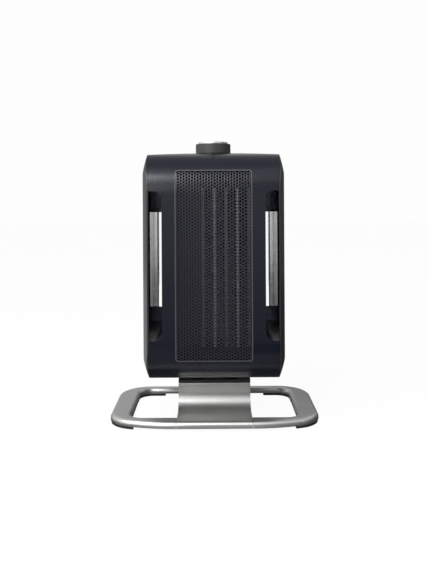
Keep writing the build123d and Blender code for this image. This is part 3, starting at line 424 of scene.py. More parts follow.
@dataclass(frozen=True)
class Layered:
    """A stack of thin sheets, or the turns of a winding.

    Attributes:
        name: the material's name.
        colour: its colour.
        seam: colour between two layers.
        roughness: how satin it is.
        pitch: thickness of a layer, in metres.
        axis: the axis that the layers follow each other on.
        uneven: how much its gloss changes over the surface.
        groove: depth between two layers, as a share of the pitch.
        patch: distance between its patches, in metres.
    """

    name: str
    colour: Colour
    seam: Colour
    roughness: float
    pitch: float
    axis: Stack
    uneven: float = 0.15
    groove: float = 0.12
    patch: float = 8 * MM

    def material(self) -> bpy.types.Material:
        """Make the material.

        Returns:
            The material.
        """
        shader = Shader.named(self.name)
        layer = shader.bands(self.pitch, self.axis)
        patch = shader.noise(self.patch, detail=3.0)
        tone = shader.toned(patch, self.colour, dark=0.85, light=1.1)
        return shader.surface(
            {
                "Base Color": shader.blend(layer, self.seam, tone),
                "Metallic": 1.0,
                "Roughness": self.roughness + patch.swing(self.uneven),
                "Normal": shader.bump(layer, self.groove * self.pitch),
            }
        )


@dataclass(frozen=True)
class Paired:
    """Drawn metal strips side by side, of which every other one carries painted light: lit and
    shaded copies of one metal.

    Attributes:
        name: the material's name.
        colour: colour of a lit strip, painted light.
        dull: colour of the strips between them, painted shade.
        roughness: how satin they are.
        pitch: distance between two lit strips, in metres.
        middle: X of one lit strip, in metres.
        uneven: how much their gloss changes from mark to mark.
        relief: depth of a drawing mark, in metres.
        stain: how much of a stain's colour shows, at most.
        streak: width of a drawing mark, in metres.
        patch: distance between its patches, in metres.
        dark: brightness of a stain, where 1 is the shaded strips' own.
    """

    name: str
    colour: Colour
    dull: Colour
    roughness: float
    pitch: float
    middle: float
    uneven: float = 0.15
    relief: float = 0.006 * MM
    stain: float = 0.4
    streak: float = 0.4 * MM
    patch: float = 12 * MM
    dark: float = 0.7

    def material(self) -> bpy.types.Material:
        """Make the material.

        Returns:
            The material.
        """
        shader = Shader.named(self.name)
        marks = shader.noise(self.streak, detail=3.0, grain=Grain.ALONG_Z)
        patch = shader.noise(self.patch, detail=3.0)
        # Painted light: every other strip is lighter, and the strips between are painted shade.
        lit_strip_share = shader.bands(self.pitch, Stack.ACROSS_X, self.middle)
        tone = shader.blend(lit_strip_share, self.dull, self.colour)
        stain = (marks + patch) * self.stain
        return shader.surface(
            {
                "Base Color": shader.blend(stain, tone, scaled(self.dull, self.dark)),
                "Metallic": 1.0,
                "Roughness": self.roughness + marks.swing(self.uneven),
                "Normal": shader.bump(marks, self.relief),
            }
        )


@dataclass(frozen=True)
class Woven:
    """Fine woven mesh.

    Attributes:
        name: the material's name.
        colour: colour of its threads.
        pitch: distance between two threads, in metres.
        gap: brightness between the threads, where 1 is the thread's own.
        relief: height of a thread, as a share of the pitch.
        roughness: how matte it is between the threads.
        sheen: how much glossier the threads are.
    """

    name: str
    colour: Colour
    pitch: float
    gap: float = 0.25
    relief: float = 0.2
    roughness: float = 0.85
    sheen: float = 0.1

    def material(self) -> bpy.types.Material:
        """Make the material.

        Returns:
            The material.
        """
        shader = Shader.named(self.name)
        across = shader.bands(self.pitch, Stack.ACROSS_X)
        upward = shader.bands(self.pitch, Stack.ACROSS_Z)
        thread = across.most(upward)
        return shader.surface(
            {
                "Base Color": shader.toned(thread, self.colour, dark=self.gap, light=1.0),
                "Roughness": self.roughness - thread * self.sheen,
                "Normal": shader.bump(thread, self.relief * self.pitch),
            }
        )


@dataclass(frozen=True)
class Crumpled:
    """Thin bright sheet with upright creases and small dents, with painted shade in the creases and
    in the dents' hollows.

    Attributes:
        name: the material's name.
        colour: its colour.
        roughness: how satin it is.
        crease: distance between two creases, in metres.
        relief: depth of a crease, in metres.
        uneven: how much its gloss changes from crease to crease.
        dent: distance between two dents, in distances between creases.
        sunk: depth of a dent, in depths of a crease.
        fold: brightness in a crease, where 1 is the colour itself: painted shade in the creases.
    """

    name: str
    colour: Colour
    roughness: float
    crease: float
    relief: float
    uneven: float = 0.1
    dent: float = 4.0
    sunk: float = 2.0
    fold: float = 0.5

    def material(self) -> bpy.types.Material:
        """Make the material.

        Returns:
            The material.
        """
        shader = Shader.named(self.name)
        creases = shader.noise(self.crease, detail=3.0, grain=Grain.ALONG_Z)
        dents = shader.noise(self.dent * self.crease, detail=3.0)
        # Painted shade and painted light: darker in the dents' hollows, lighter on their tops.
        tone = shader.toned(dents, self.colour, dark=0.75, light=1.2)
        under = shader.bump(dents, self.sunk * self.relief)
        return shader.surface(
            {
                # Painted shade: the creases are darkened.
                "Base Color": shader.blend(creases, scaled(self.colour, self.fold), tone),
                "Metallic": 1.0,
                "Roughness": self.roughness + creases.swing(self.uneven),
                "Normal": shader.bump(creases, self.relief, under),
            }
        )


@dataclass(frozen=True)
class Smoked:
    """Smoked plastic over a dark ground, as an unlit pilot lens looks.

    Attributes:
        name: the material's name.
        colour: its colour.
        roughness: how clear its face is.
        shine: how strongly it reflects, where 0.5 is plain plastic.
        uneven: how much its gloss changes over the surface.
        spots: distance between its darker spots, in metres.
    """

    name: str
    colour: Colour
    roughness: float
    shine: float = 0.3
    uneven: float = 0.05
    spots: float = 3 * MM

    def material(self) -> bpy.types.Material:
        """Make the material.

        Returns:
            The material.
        """
        shader = Shader.named(self.name)
        depth = shader.noise(self.spots)
        return shader.surface(
            {
                "Base Color": shader.toned(depth, self.colour, dark=0.6, light=1.5),
                "Roughness": self.roughness + depth.swing(self.uneven),
                "Specular IOR Level": self.shine,
            }
        )


FRONT_PLASTIC = Moulded(
    "front_plastic", (0.0036, 0.0048, 0.0115), 0.27, 0.9 * MM, 0.002 * MM, 0.05, shine=0.4
)
SIDE_PLASTIC = Moulded("side_plastic", (0.011, 0.0115, 0.014), 0.32, 0.8 * MM, 0.002 * MM, 0.06)
REAR_PLASTIC = Moulded(
    "rear_plastic",
    (0.026, 0.028, 0.035),
    0.34,
    0.7 * MM,
    0.003 * MM,
    # Painted light: the rear cover's faces that look to the front, which show through the slots,
    # are painted pale blue-grey.
    painted_front_light=(0.42, 0.46, 0.58),
    polish=0.1,
)
# Painted light: the channel liners are lighter than the casing's black plastic, so that the slots'
# insides do not go black.
LINER_PLASTIC = Moulded("liner_plastic", (0.045, 0.048, 0.06), 0.28, 0.8 * MM, 0.001 * MM, 0.04)
NECK_PLASTIC = Moulded("neck_plastic", (0.010, 0.010, 0.011), 0.45, 0.5 * MM, 0.012 * MM)
FOOT_RUBBER = Moulded("foot_rubber", (0.011, 0.0112, 0.012), 0.7, 0.35 * MM, 0.02 * MM)
DUCT_PLASTIC = Moulded("duct_plastic", (0.022, 0.022, 0.024), 0.5, 0.6 * MM, 0.01 * MM)
FAN_PLASTIC = Moulded("fan_plastic", (0.02, 0.02, 0.022), 0.38, 0.8 * MM, 0.004 * MM)
FRAME_PLASTIC = Moulded("frame_plastic", (0.005, 0.005, 0.006), 0.5, 0.5 * MM, 0.012 * MM)
SWITCH_PLASTIC = Moulded("switch_plastic", (0.42, 0.41, 0.37), 0.45, 0.6 * MM, 0.006 * MM)
KNOB_PLASTIC = Moulded("knob_plastic", (0.034, 0.034, 0.036), 0.45, 0.4 * MM, 0.006 * MM)
CUTOUT_PLASTIC = Moulded("cutout_plastic", (0.06, 0.03, 0.018), 0.3, 0.7 * MM, 0.004 * MM)
FUSE_CERAMIC = Moulded("fuse_ceramic", (0.62, 0.6, 0.55), 0.35, 0.5 * MM, 0.006 * MM)
LAMP_RED = Moulded("lamp_red", (0.35, 0.03, 0.02), 0.2, 0.9 * MM, 0.002 * MM)
POINTER_PAINT = Moulded("pointer_paint", (0.6, 0.6, 0.58), 0.35, 0.5 * MM, 0.004 * MM)
WIRE_SLEEVE = Moulded("wire_sleeve", (0.20, 0.03, 0.022), 0.5, 0.7 * MM, 0.006 * MM)
SHEET_PAINT = Moulded(
    "sheet_paint", (0.017, 0.0178, 0.025), 0.24, 0.35 * MM, 0.003 * MM, shine=0.4
)
RIM_PLASTIC = Moulded("rim_plastic", (0.05, 0.051, 0.058), 0.3, 0.9 * MM, 0.002 * MM, 0.05)
INTAKE_PLASTIC = Moulded("intake_plastic", (0.012, 0.012, 0.0135), 0.45, 0.5 * MM, 0.01 * MM)

RING_METAL = Metal("ring_metal", (0.56, 0.56, 0.553), 0.43, Grain.NONE, 0.12 * MM, 0.003 * MM, 0.1)
STRAP_METAL = Metal(
    "strap_metal", (0.6, 0.597, 0.585), 0.4, Grain.ALONG_X, 0.35 * MM, 0.006 * MM, 0.15
)
PLAIN_STEEL = Metal("plain_steel", (0.5, 0.5, 0.51), 0.35, Grain.NONE, 0.25 * MM)
# The slot trims carry painted shade in their creases and dents.
TRIM_METAL = Crumpled("trim_metal", (0.97, 0.97, 0.96), 0.15, 1.5 * MM, 0.03 * MM)
CAP_METAL = Metal("cap_metal", (0.86, 0.86, 0.85), 0.38, Grain.NONE, 0.15 * MM)
# The element's bars alternate between a lit and a shaded copy of one metal: painted light and
# painted shade.
BAR_METAL = Paired("bar_metal", (0.7, 0.7, 0.69), (0.3, 0.3, 0.3), 0.5, 26.4 * MM, 0.6 * MM)
FIN_METAL = Metal(
    "fin_metal", (0.88, 0.88, 0.87), 0.45, Grain.ALONG_Y, relief=0.006 * MM, tint=(0.75, 0.74, 0.72)
)
BRASS = Metal("brass", (0.66, 0.48, 0.2), 0.3, Grain.NONE, 0.3 * MM)
CORE_STEEL = Layered(
    "core_steel", (0.3, 0.3, 0.31), (0.06, 0.05, 0.045), 0.45, 0.5 * MM, Stack.ACROSS_Z
)
COIL_COPPER = Layered(
    "coil_copper", (0.45, 0.19, 0.07), (0.10, 0.035, 0.015), 0.3, 0.45 * MM, Stack.ACROSS_Y
)
FILTER_MESH = Woven("filter_mesh", (0.06, 0.06, 0.062), 0.7 * MM)
LENS_SMOKE = Smoked("lens_smoke", (0.0012, 0.0012, 0.0014), 0.3)

Finish = Union[Moulded, Metal, Layered, Paired, Woven, Crumpled, Smoked]


class Wardrobe:
    """Makes each finish once and puts it on nodes and pieces.

    Attributes:
        merge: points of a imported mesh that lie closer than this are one.
        flat: faces that meet at less than this angle are one.
        sharp: edges with more than this angle are rounded.
    """

    merge: float = 0.002 * MM
    flat: float = math.radians(0.5)
    sharp: float = math.radians(35.0)

    def __init__(self, nodes: Mapping[str, bpy.types.Object]) -> None:
        """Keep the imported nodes.

        Args:
            nodes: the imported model's objects by name.
        """
        self.nodes = nodes
        self.made: dict[str, bpy.types.Material] = {}

    def material(self, finish: Finish) -> bpy.types.Material:
        """The material of one finish.

        Args:
            finish: the finish.

        Returns:
            The material, made at its first use.
        """
        if finish.name not in self.made:
            self.made[finish.name] = finish.material()
        return self.made[finish.name]

    def dress(self, finish: Finish, *names: str) -> None:
        """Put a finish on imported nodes.

        Args:
            finish: the finish.
            names: the nodes.
        """
        for name in names:
            self.wear(self.nodes[name], finish)
            LOG.info("%s wears %s", name, finish.name)

    def softened(self, node: str, name: str, width: float) -> bpy.types.Object:
        """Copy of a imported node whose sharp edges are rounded.

        Args:
            node: the node.
            name: the copy's name.
            width: size of the rounding.

        Returns:
            The copy.
        """
        shape = bmesh.new()
        shape.from_mesh(self.nodes[node].data)
        bmesh.ops.remove_doubles(shape, verts=shape.verts, dist=self.merge)
        bmesh.ops.dissolve_limit(
            shape, angle_limit=self.flat, verts=shape.verts, edges=shape.edges
        )
        sharp = [e for e in shape.edges if e.is_manifold and e.calc_face_angle() > self.sharp]
        bmesh.ops.bevel(
            shape,
            geom=sharp,
            offset=width,
            affect="EDGES",
            segments=2,
            profile=0.5,
            material=-1,
            clamp_overlap=True,
        )
        piece = piece_from(name, shape, smooth=True)
        even = piece.modifiers.new("even_light", "WEIGHTED_NORMAL")
        even.keep_sharp = True
        LOG.info("%s is softened from %s", name, node)
        return piece

    def wear(self, piece: bpy.types.Object, finish: Finish) -> None:
        """Put a finish on one object.

        Args:
            piece: the object.
            finish: the finish.
        """
        piece.data.materials.clear()
        piece.data.materials.append(self.material(finish))


def piece_from(name: str, shape: bmesh.types.BMesh, smooth: bool = False) -> bpy.types.Object:
    """Turn a bmesh into an object at the origin.

    Args:
        name: the piece's name.
        shape: its mesh, which is freed.
        smooth: whether its faces are shaded smooth.

    Returns:
        The object.
    """
    mesh = bpy.data.meshes.new(name)
    shape.to_mesh(mesh)
    shape.free()
    for face in mesh.polygons:
        face.use_smooth = smooth
    piece = bpy.data.objects.new(name, mesh)
    bpy.context.scene.collection.objects.link(piece)
    return piece


@dataclass
class HeadProfile:
    """Side view of the head's front, which the outlet sheet follows.

    Attributes:
        front: Y of the flat front face.
        low: height where the lower roll starts.
        high: height where the upper roll starts.
        roll: radius of both rolls.
    """

    front: float = -65.0 * MM
    low: float = 93.5 * MM
    high: float = 259.0 * MM
    roll: float = 48.0 * MM

    def wrap(self, run: float, inset: float) -> tuple[float, float]:
        """Place of a point on the front.

        Args:
            run: length along the front, up from the height where the lower roll starts.
            inset: how far the point lies under the skin.

        Returns:
            Its Y and Z.
        """
        radius = self.roll - inset
        flat = self.high - self.low
        beyond = run - flat if run > flat else min(run, 0.0)
        angle = beyond / radius
        start = self.high if run > flat else self.low
        height = start + radius * math.sin(angle) if beyond else self.low + run
        return self.front + self.roll - radius * math.cos(angle), height


@dataclass
class OutletGrille:
    """Perforated sheet in the outlet, and the raised line round it.

    Attributes:
        columns: holes side by side.
        rows: holes above each other.
        pitch_x: distance between two columns.
        pitch_z: distance between two holes in a column.
        hole: radius of a hole.
        half_width: half the sheet's width.
        bottom: lower end of the sheet, as a length along the front.
        top: upper end of the sheet, as a length along the front.
        inset: how far the sheet lies under the head's skin.
        thickness: of the sheet.
        sunk: how far the edge of a hole is pressed in.
        sides: of the polygon that a hole is.
        merge: distance at which the corners of two cells become one.
        rounding: of the edges of the raised line.
    """

    columns: int = 28
    rows: int = 61
    pitch_x: float = 3.12 * MM
    pitch_z: float = 3.6 * MM
    hole: float = 1.28 * MM
    half_width: float = 41.7 * MM
    bottom: float = -19.7 * MM
    top: float = 193.0 * MM
    inset: float = 0.6 * MM
    thickness: float = 0.8 * MM
    sunk: float = 0.12 * MM
    sides: int = 12
    merge: float = 0.01 * MM
    rounding: float = 0.35 * MM

    def cell(self, shape: bmesh.types.BMesh) -> None:
        """One hole with the sheet round it, flat at the origin and sunk towards the hole.

        Args:
            shape: the mesh that it is added to.
        """
        edge = bmesh.ops.create_circle(shape, segments=self.sides, radius=self.hole)["verts"]
        bmesh.ops.translate(shape, verts=edge, vec=(0.0, 0.0, self.sunk))
        rim = bmesh.ops.create_circle(shape, segments=self.sides, radius=1.0)["verts"]
        half_x, half_z = self.pitch_x / 2, self.pitch_z / 2
        level, corner = 0.1, 0.8  # how far up the side points lie, and how far out the corners
        for vertex in rim:
            along, up = vertex.co.x, vertex.co.y
            outward = math.copysign(1.0, along)
            if abs(up) < level:
                vertex.co.x = half_x * outward
            else:
                vertex.co.x = half_x * (along if abs(along) < corner else outward)
                vertex.co.y = math.copysign(half_z, up)
        bmesh.ops.bridge_loops(shape, edges=shape.edges[:])

    def repeat(self, shape: bmesh.types.BMesh, count: int, step: Point) -> None:
        """Repeat the whole mesh in a row and join the copies.

        Args:
            shape: the mesh.
            count: how many there are in the end.
            step: from one to the next.
        """
        base = shape.verts[:] + shape.edges[:] + shape.faces[:]
        for index in range(1, count):
            more = bmesh.ops.duplicate(shape, geom=base)["geom"]
            moved = [g for g in more if isinstance(g, bmesh.types.BMVert)]
            bmesh.ops.translate(shape, verts=moved, vec=Vector(step) * index)
        bmesh.ops.remove_doubles(shape, verts=shape.verts, dist=self.merge)

    def trim(self, shape: bmesh.types.BMesh, limit: Point, outward: Point) -> None:
        """Cut the sheet off beyond a plane.

        Args:
            shape: the mesh.
            limit: a point of the plane.
            outward: direction that is cut off.
        """
        bmesh.ops.bisect_plane(
            shape,
            geom=shape.verts[:] + shape.edges[:] + shape.faces[:],
            plane_co=limit,
            plane_no=outward,
            clear_outer=True,
        )

    def sheet(self) -> bpy.types.Object:
        """The whole sheet, wrapped over the head's front.

        Returns:
            The piece.
        """
        shape = bmesh.new()
        self.cell(shape)
        self.repeat(shape, self.rows, (0.0, self.pitch_z, 0.0))
        self.repeat(shape, 2, (self.pitch_x, self.pitch_z / 2, 0.0))
        self.repeat(shape, self.columns // 2, (2 * self.pitch_x, 0.0, 0.0))
        left = -(self.columns - 1) * self.pitch_x / 2
        low = self.bottom - self.pitch_z / 4
        bmesh.ops.translate(shape, verts=shape.verts, vec=(left, low, 0.0))
        self.trim(shape, (self.half_width, 0.0, 0.0), (1.0, 0.0, 0.0))
        self.trim(shape, (-self.half_width, 0.0, 0.0), (-1.0, 0.0, 0.0))
        self.trim(shape, (0.0, self.top, 0.0), (0.0, 1.0, 0.0))
        self.trim(shape, (0.0, self.bottom, 0.0), (0.0, -1.0, 0.0))
        profile = HeadProfile()
        for vertex in shape.verts:
            depth = self.inset + vertex.co.z
            vertex.co.y, vertex.co.z = profile.wrap(vertex.co.y, depth)
        bmesh.ops.recalc_face_normals(shape, faces=shape.faces)
        if sum(face.normal.y for face in shape.faces) > 0.0:
            bmesh.ops.reverse_faces(shape, faces=shape.faces)
        for edge in shape.edges:
            edge.smooth = not edge.is_boundary
        piece = piece_from("outlet_sheet", shape, smooth=True)
        wall = piece.modifiers.new("wall", "SOLIDIFY")
        wall.thickness = self.thickness
        wall.offset = -1.0
        return piece

    def build(self, wardrobe: Wardrobe) -> None:
        """Make and dress the outlet's pieces.

        Args:
            wardrobe: where finishes come from.
        """
        sheet = self.sheet()
        wardrobe.wear(sheet, SHEET_PAINT)
        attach(sheet, "head")
        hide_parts("front_grille")
        LOG.info("outlet sheet has %d faces", len(sheet.data.polygons))
        rim = wardrobe.softened("grille_frame", "outlet_rim", self.rounding)
        wardrobe.wear(rim, RIM_PLASTIC)
        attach(rim, "head")
        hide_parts("grille_frame")


@dataclass
class HeatingElement:
    """Bars, folded fins and the frame behind the outlet.

    Attributes:
        first_x: left face of the first bar.
        bar_pitch: distance between two bars.
        bar_width: width of a bar.
        bars: how many there are.
        front: Y of the element's front.
        depth: of a fin strip.
        bottom: height of the element's lower end.
        top: height of its upper end.
        fold: height of one fold.
        foil: thickness of the folded sheet.
    """

    first_x: float = -14.1 * MM
    bar_pitch: float = 13.2 * MM
    bar_width: float = 3.0 * MM
    bars: int = 5
    front: float = -35.9 * MM
    depth: float = 11.4 * MM
    bottom: float = 84.2 * MM
    top: float = 266.8 * MM
    fold: float = 0.85 * MM
    foil: float = 0.22 * MM

    def fins(self) -> bpy.types.Object:
        """Folded strips between the bars.

        Returns:
            The piece.
        """
        shape = bmesh.new()
        steps = int((self.top - self.bottom) / self.fold)
        for gap in range(self.bars - 1):
            left = self.first_x + gap * self.bar_pitch + self.bar_width + self.foil
            right = self.first_x + (gap + 1) * self.bar_pitch - self.foil
            near = shape.verts.new((left, self.front, self.bottom))
            far = shape.verts.new((left, self.front + self.depth, self.bottom))
            edge = shape.edges.new((near, far))
            for step in range(steps):
                across = (right - left) * (1 if step % 2 == 0 else -1)
                grown = bmesh.ops.extrude_edge_only(shape, edges=[edge])["geom"]
                moved = [g for g in grown if isinstance(g, bmesh.types.BMVert)]
                bmesh.ops.translate(shape, verts=moved, vec=(across, 0.0, self.fold))
                edge = next(
                    g
                    for g in grown
                    if isinstance(g, bmesh.types.BMEdge) and all(v in moved for v in g.verts)
                )
        piece = piece_from("folded_fins", shape)
        wall = piece.modifiers.new("foil", "SOLIDIFY")
        wall.thickness = self.foil
        wall.offset = 0.0
        return piece

    def build(self, wardrobe: Wardrobe) -> None:
        """Make and dress the element's pieces.

        Args:
            wardrobe: where finishes come from.
        """
        fins = self.fins()
        wardrobe.wear(fins, FIN_METAL)
        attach(fins, "head")
        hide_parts("element_fins")
        wardrobe.dress(BAR_METAL, "element_bars")
        wardrobe.dress(BRASS, "element_terminals")
        wardrobe.dress(FRAME_PLASTIC, "element_frame")
        wardrobe.dress(PLAIN_STEEL, "element_screws")
        wardrobe.dress(CUTOUT_PLASTIC, "thermal_cutout")
        wardrobe.dress(FUSE_CERAMIC, "thermal_fuse")


@dataclass
class Stand:
    """Ring, strap, feet and neck."""

    def build(self, wardrobe: Wardrobe) -> None:
        """Dress the stand's pieces.

        Args:
            wardrobe: where finishes come from.
        """
        wardrobe.dress(RING_METAL, "stand_ring")
        wardrobe.dress(STRAP_METAL, "stand_strap")
        wardrobe.dress(PLAIN_STEEL, "joiner_bar", "stand_screws", "neck_screws")
        wardrobe.dress(NECK_PLASTIC, "neck_block")
        wardrobe.dress(
            FOOT_RUBBER, "foot_front_right", "foot_front_left", "foot_rear_right", "foot_rear_left"
        )


@dataclass
class HeadCasing:
    """Covers, channels and the tilt hinge."""

    def build(self, wardrobe: Wardrobe) -> None:
        """Dress the casing's pieces.

        Args:
            wardrobe: where finishes come from.
        """
        wardrobe.dress(FRONT_PLASTIC, "front_cover")
        wardrobe.dress(SIDE_PLASTIC, "side_cover_right", "side_cover_left")
        wardrobe.dress(REAR_PLASTIC, "rear_cover")
        wardrobe.dress(INTAKE_PLASTIC, "intake_grille")
        wardrobe.dress(FILTER_MESH, "dust_filter")
        wardrobe.dress(LINER_PLASTIC, "channel_liner_right", "channel_liner_left")
        wardrobe.dress(TRIM_METAL, "channel_trim_right", "channel_trim_left")
        wardrobe.dress(PLAIN_STEEL, "cover_screws", "hinge_bracket", "tilt_pin")
        wardrobe.dress(NECK_PLASTIC, "friction_washers")
        wardrobe.dress(FOOT_RUBBER, "cord_gland")


@dataclass
class Airways:
    """Duct, fan and motor."""

    def build(self, wardrobe: Wardrobe) -> None:
        """Dress the duct, the fan and the motor.

        Args:
            wardrobe: where finishes come from.
        """
        wardrobe.dress(DUCT_PLASTIC, "air_duct", "duct_lid", "bearing_holder")
        wardrobe.dress(FAN_PLASTIC, "fan_impeller")
        wardrobe.dress(BRASS, "top_bearing", "motor_bushes")
        wardrobe.dress(
            PLAIN_STEEL, "fan_shaft", "motor_upper_plate", "motor_lower_plate", "motor_screws"
        )
        wardrobe.dress(CORE_STEEL, "motor_stator", "motor_rotor")
        wardrobe.dress(COIL_COPPER, "motor_coil")


@dataclass
class Controls:
    """Knob, switches, pilot light and wires."""

    def build(self, wardrobe: Wardrobe) -> None:
        """Dress the controls and the wires.

        Args:
            wardrobe: where finishes come from.
        """
        wardrobe.dress(KNOB_PLASTIC, "control_knob")
        wardrobe.dress(CAP_METAL, "knob_cap")
        wardrobe.dress(POINTER_PAINT, "knob_pointer")
        wardrobe.dress(LENS_SMOKE, "pilot_lens")
        wardrobe.dress(LAMP_RED, "pilot_lamp")
        wardrobe.dress(SWITCH_PLASTIC, "rotary_switch", "tip_switch_frame", "terminal_block")
        wardrobe.dress(PLAIN_STEEL, "switch_nut", "switch_spindle", "tip_pivot_pin")
        wardrobe.dress(BRASS, "tip_pendulum")
        wardrobe.dress(WIRE_SLEEVE, "internal_wires")


@dataclass(frozen=True)
class Card:
    """Rectangle that only shows in reflections.

    Attributes:
        name: its name.
        glow: how bright it looks there, where 1 is white.
        corner: one of its corners.
        first: one of its sides.
        second: the other side.
        spots: distance between its lighter spots, in metres.
        uneven: how much lighter they are, and how much darker the rest is.
    """

    name: str
    glow: float
    corner: Point
    first: Point
    second: Point
    spots: float = 0.3
    uneven: float = 0.08


@dataclass(frozen=True)
class Lamp:
    """Softbox aimed at a point.

    Attributes:
        name: its name.
        place: where it hangs.
        aim: what it points at.
        size: its width and height.
        power: in watts.
    """

    name: str
    place: Point
    aim: Point
    size: tuple[float, float]
    power: float


WIDE: Point = (2.4, 0.0, 0.0)
NARROW: Point = (0.12, 0.0, 0.0)
BEHIND: Point = (1.58, 0.0, 0.0)
LOW: Point = (0.0, 0.0, 0.36)
HIGH: Point = (0.0, 0.0, 0.75)
CARDS: tuple[Card, ...] = (
    Card("floor_card", 0.02, (-1.2, -1.6, 0.001), WIDE, (0.0, 1.25, 0.0)),
    Card("near_floor_card", 0.33, (-1.2, -0.35, 0.001), WIDE, (0.0, 0.27, 0.0)),
    Card("under_card", 0.06, (-1.2, -0.08, 0.001), WIDE, (0.0, 0.22, 0.0)),
    Card("front_card", 0.42, (-1.2, -1.6, 0.0), WIDE, LOW),
    Card("high_card", 0.25, (-1.2, -1.6, 0.36), WIDE, (0.0, 0.0, 0.9)),
    Card("low_card", 0.06, (-0.045, -0.15, 0.012), (0.3, 0.0, 0.0), (0.0, 0.0, 0.055)),
    Card("left_strip", 1.0, (-0.15, -1.59, 0.0), NARROW, LOW),
    Card("left_floor_strip", 0.38, (-0.15, -1.59, 0.002), NARROW, (0.0, 1.1, 0.0)),
    Card("right_strip", 1.0, (0.03, -1.59, 0.0), NARROW, LOW),
    Card("right_floor_strip", 0.38, (0.03, -1.59, 0.002), NARROW, (0.0, 1.1, 0.0)),
    Card("overhead_card", 0.45, (-1.5, -0.35, 1.9), (3.0, 0.0, 0.0), (0.0, 2.2, 0.0)),
    Card("left_card", 0.36, (-1.6, 1.2, 0.0), BEHIND, HIGH),
    Card("right_card", 0.1, (0.02, 1.2, 0.0), BEHIND, HIGH),
    Card("left_floor_card", 0.55, (-1.6, 0.2, 0.001), (1.5, 0.0, 0.0), (0.0, 1.0, 0.0)),
    Card("right_floor_card", 0.04, (0.125, 0.0, 0.001), (1.5, 0.0, 0.0), (0.0, 1.2, 0.0)),
    Card("side_card", 0.1, (1.5, -1.0, 0.0), (0.0, 2.2, 0.0), (0.0, 0.0, 1.0)),
)
UPPER_HEAD: Point = (-0.05, -0.05, 0.28)
LAMPS: tuple[Lamp, ...] = (
    Lamp("key", (-0.62, -0.75, 1.15), UPPER_HEAD, (1.0, 0.6), 18.0),
    Lamp("left_fill", (-0.62, -1.15, 0.68), UPPER_HEAD, (1.0, 0.4), 4.0),
    Lamp("front_fill", (0.0, -1.5, 0.55), (0.0, 0.0, 0.18), (1.2, 0.8), 0.7),
    Lamp("right_fill", (1.1, -0.4, 0.9), (0.0, 0.0, 0.15), (0.6, 0.6), 0.25),
)


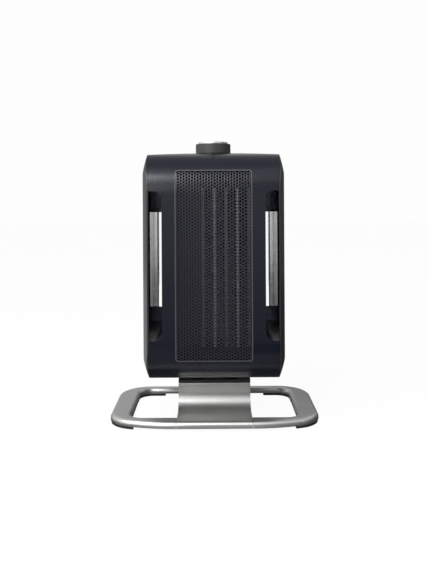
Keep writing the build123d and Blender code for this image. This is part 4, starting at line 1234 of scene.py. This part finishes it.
@dataclass
class Studio:
    """Camera, lamps, floor and the grey cards round the set.

    Attributes:
        eye: where the camera stands.
        lens: focal length, for the frame's long side of 36 mm.
        lean: how far the camera leans to its right, in degrees.
        shift_x: sideways shift of the frame.
        shift_y: upward shift of the frame.
        floor_half: half the width of the floor.
        level: strength of the light that comes from all round.
        shade: share of the lit floor, with its shadow, that shows.
        paper: how white the backdrop looks, so that the floor runs into it.
    """

    eye: Point = (0.0, -0.835, 0.257)
    lens: float = 43.94
    lean: float = 0.32
    shift_x: float = 0.00105
    shift_y: float = -0.1567
    floor_half: float = 6.0
    level: float = 0.62
    shade: float = 0.05
    paper: float = 0.985

    def camera(self) -> None:
        """Level camera in front of the heater, a little above its middle."""
        data = bpy.data.cameras.new("camera")
        data.sensor_width = 36.0
        data.lens = self.lens
        data.shift_x, data.shift_y = self.shift_x, self.shift_y
        data.clip_start, data.clip_end = 0.01, 30.0
        camera = bpy.data.objects.new("camera", data)
        camera.location = self.eye
        camera.rotation_euler = (math.radians(90.0), math.radians(self.lean), 0.0)
        bpy.context.scene.collection.objects.link(camera)
        bpy.context.scene.camera = camera

    def hang(self, lamp: Lamp) -> None:
        """Hang one lamp.

        Args:
            lamp: the lamp.
        """
        data = bpy.data.lights.new(lamp.name, "AREA")
        data.shape = "RECTANGLE"
        data.size, data.size_y = lamp.size
        data.energy = lamp.power
        hung = bpy.data.objects.new(lamp.name, data)
        hung.location = lamp.place
        away = Vector(lamp.place) - Vector(lamp.aim)
        hung.rotation_euler = away.to_track_quat("Z", "Y").to_euler()
        bpy.context.scene.collection.objects.link(hung)

    def seen(self, shader: Shader) -> Term:
        """1 for what the camera sees, directly, in metal or through glass, and else 0.

        Args:
            shader: the material or world that asks.

        Returns:
            The switch.
        """
        camera = shader.node("ShaderNodeLightPath", output="Is Camera Ray")
        glossy = shader.node("ShaderNodeLightPath", output="Is Glossy Ray")
        through = shader.node("ShaderNodeLightPath", output="Is Transmission Ray")
        return camera.most(glossy).most(through)

    def white_paper(self) -> bpy.types.Material:
        """Pale paper that shows white and keeps a soft shadow.

        Returns:
            The material.
        """
        shader = Shader.named("white_paper")
        fibre = shader.noise(2.0 * MM, detail=3.0)
        dim, bright = (0.82,) * 3, (0.86,) * 3
        tone = shader.blend(fibre, dim, bright)
        lit = shader.node("ShaderNodeBsdfDiffuse", inputs={"Color": tone})
        glow = shader.node("ShaderNodeEmission", inputs={"Color": WHITE})
        seen = self.seen(shader) * (1.0 - self.shade)
        mixed = shader.node("ShaderNodeMixShader", inputs={0: seen, 1: lit, 2: glow})
        shader.node("ShaderNodeOutputMaterial", inputs={"Surface": mixed})
        return shader.owner

    def world(self) -> None:
        """Even light from all round, white where it is seen."""
        world = bpy.data.worlds.new("world")
        shader = Shader(world)
        strength = self.level + self.seen(shader) * (self.paper - self.level)
        sky = shader.node("ShaderNodeBackground", inputs={"Color": WHITE, "Strength": strength})
        shader.node("ShaderNodeOutputWorld", inputs={"Surface": sky})
        bpy.context.scene.world = world

    def sheet(self, name: str, corner: Point, first: Point, second: Point) -> bpy.types.Object:
        """Flat rectangle.

        Args:
            name: its name.
            corner: one of its corners.
            first: one of its sides.
            second: the other side.

        Returns:
            The piece.
        """
        shape = bmesh.new()
        start = shape.verts.new(corner)
        end = shape.verts.new(Vector(corner) + Vector(first))
        edge = shape.edges.new((start, end))
        grown = bmesh.ops.extrude_edge_only(shape, edges=[edge])["geom"]
        moved = [g for g in grown if isinstance(g, bmesh.types.BMVert)]
        bmesh.ops.translate(shape, verts=moved, vec=second)
        piece = piece_from(name, shape)
        return piece

    def stand_up(self, card: Card) -> None:
        """Set up one card.

        Args:
            card: the card.
        """
        piece = self.sheet(card.name, card.corner, card.first, card.second)
        shader = Shader.named(card.name)
        dim = (card.glow * (1.0 - card.uneven),) * 3
        bright = (card.glow * (1.0 + card.uneven),) * 3
        tone = shader.blend(shader.noise(card.spots), dim, bright)
        face = shader.node("ShaderNodeEmission", inputs={"Color": tone})
        shader.node("ShaderNodeOutputMaterial", inputs={"Surface": face})
        shader.owner.cycles.emission_sampling = "NONE"
        piece.data.materials.append(shader.owner)
        piece.visible_camera = False
        piece.visible_diffuse = False
        piece.visible_shadow = False

    def build(self) -> None:
        """Set up the whole studio."""
        bpy.context.scene.view_settings.view_transform = "Standard"
        self.camera()
        self.world()
        half = self.floor_half
        floor = self.sheet("floor", (-half, -half, 0.0), (2 * half, 0.0, 0.0), (0.0, 2 * half, 0.0))
        floor.data.materials.append(self.white_paper())
        for card in CARDS:
            self.stand_up(card)
        for lamp in LAMPS:
            self.hang(lamp)


def main() -> None:
    """Build the studio and dress every piece."""
    logging.basicConfig(level=logging.INFO, format="%(message)s")
    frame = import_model()
    Studio().build()
    wardrobe = Wardrobe(frame["nodes"])
    for part in (Stand(), HeadCasing(), OutletGrille(), HeatingElement(), Airways(), Controls()):
        part.build(wardrobe)
        LOG.info("built %s", type(part).__name__)


if __name__ == "__main__":
    main()
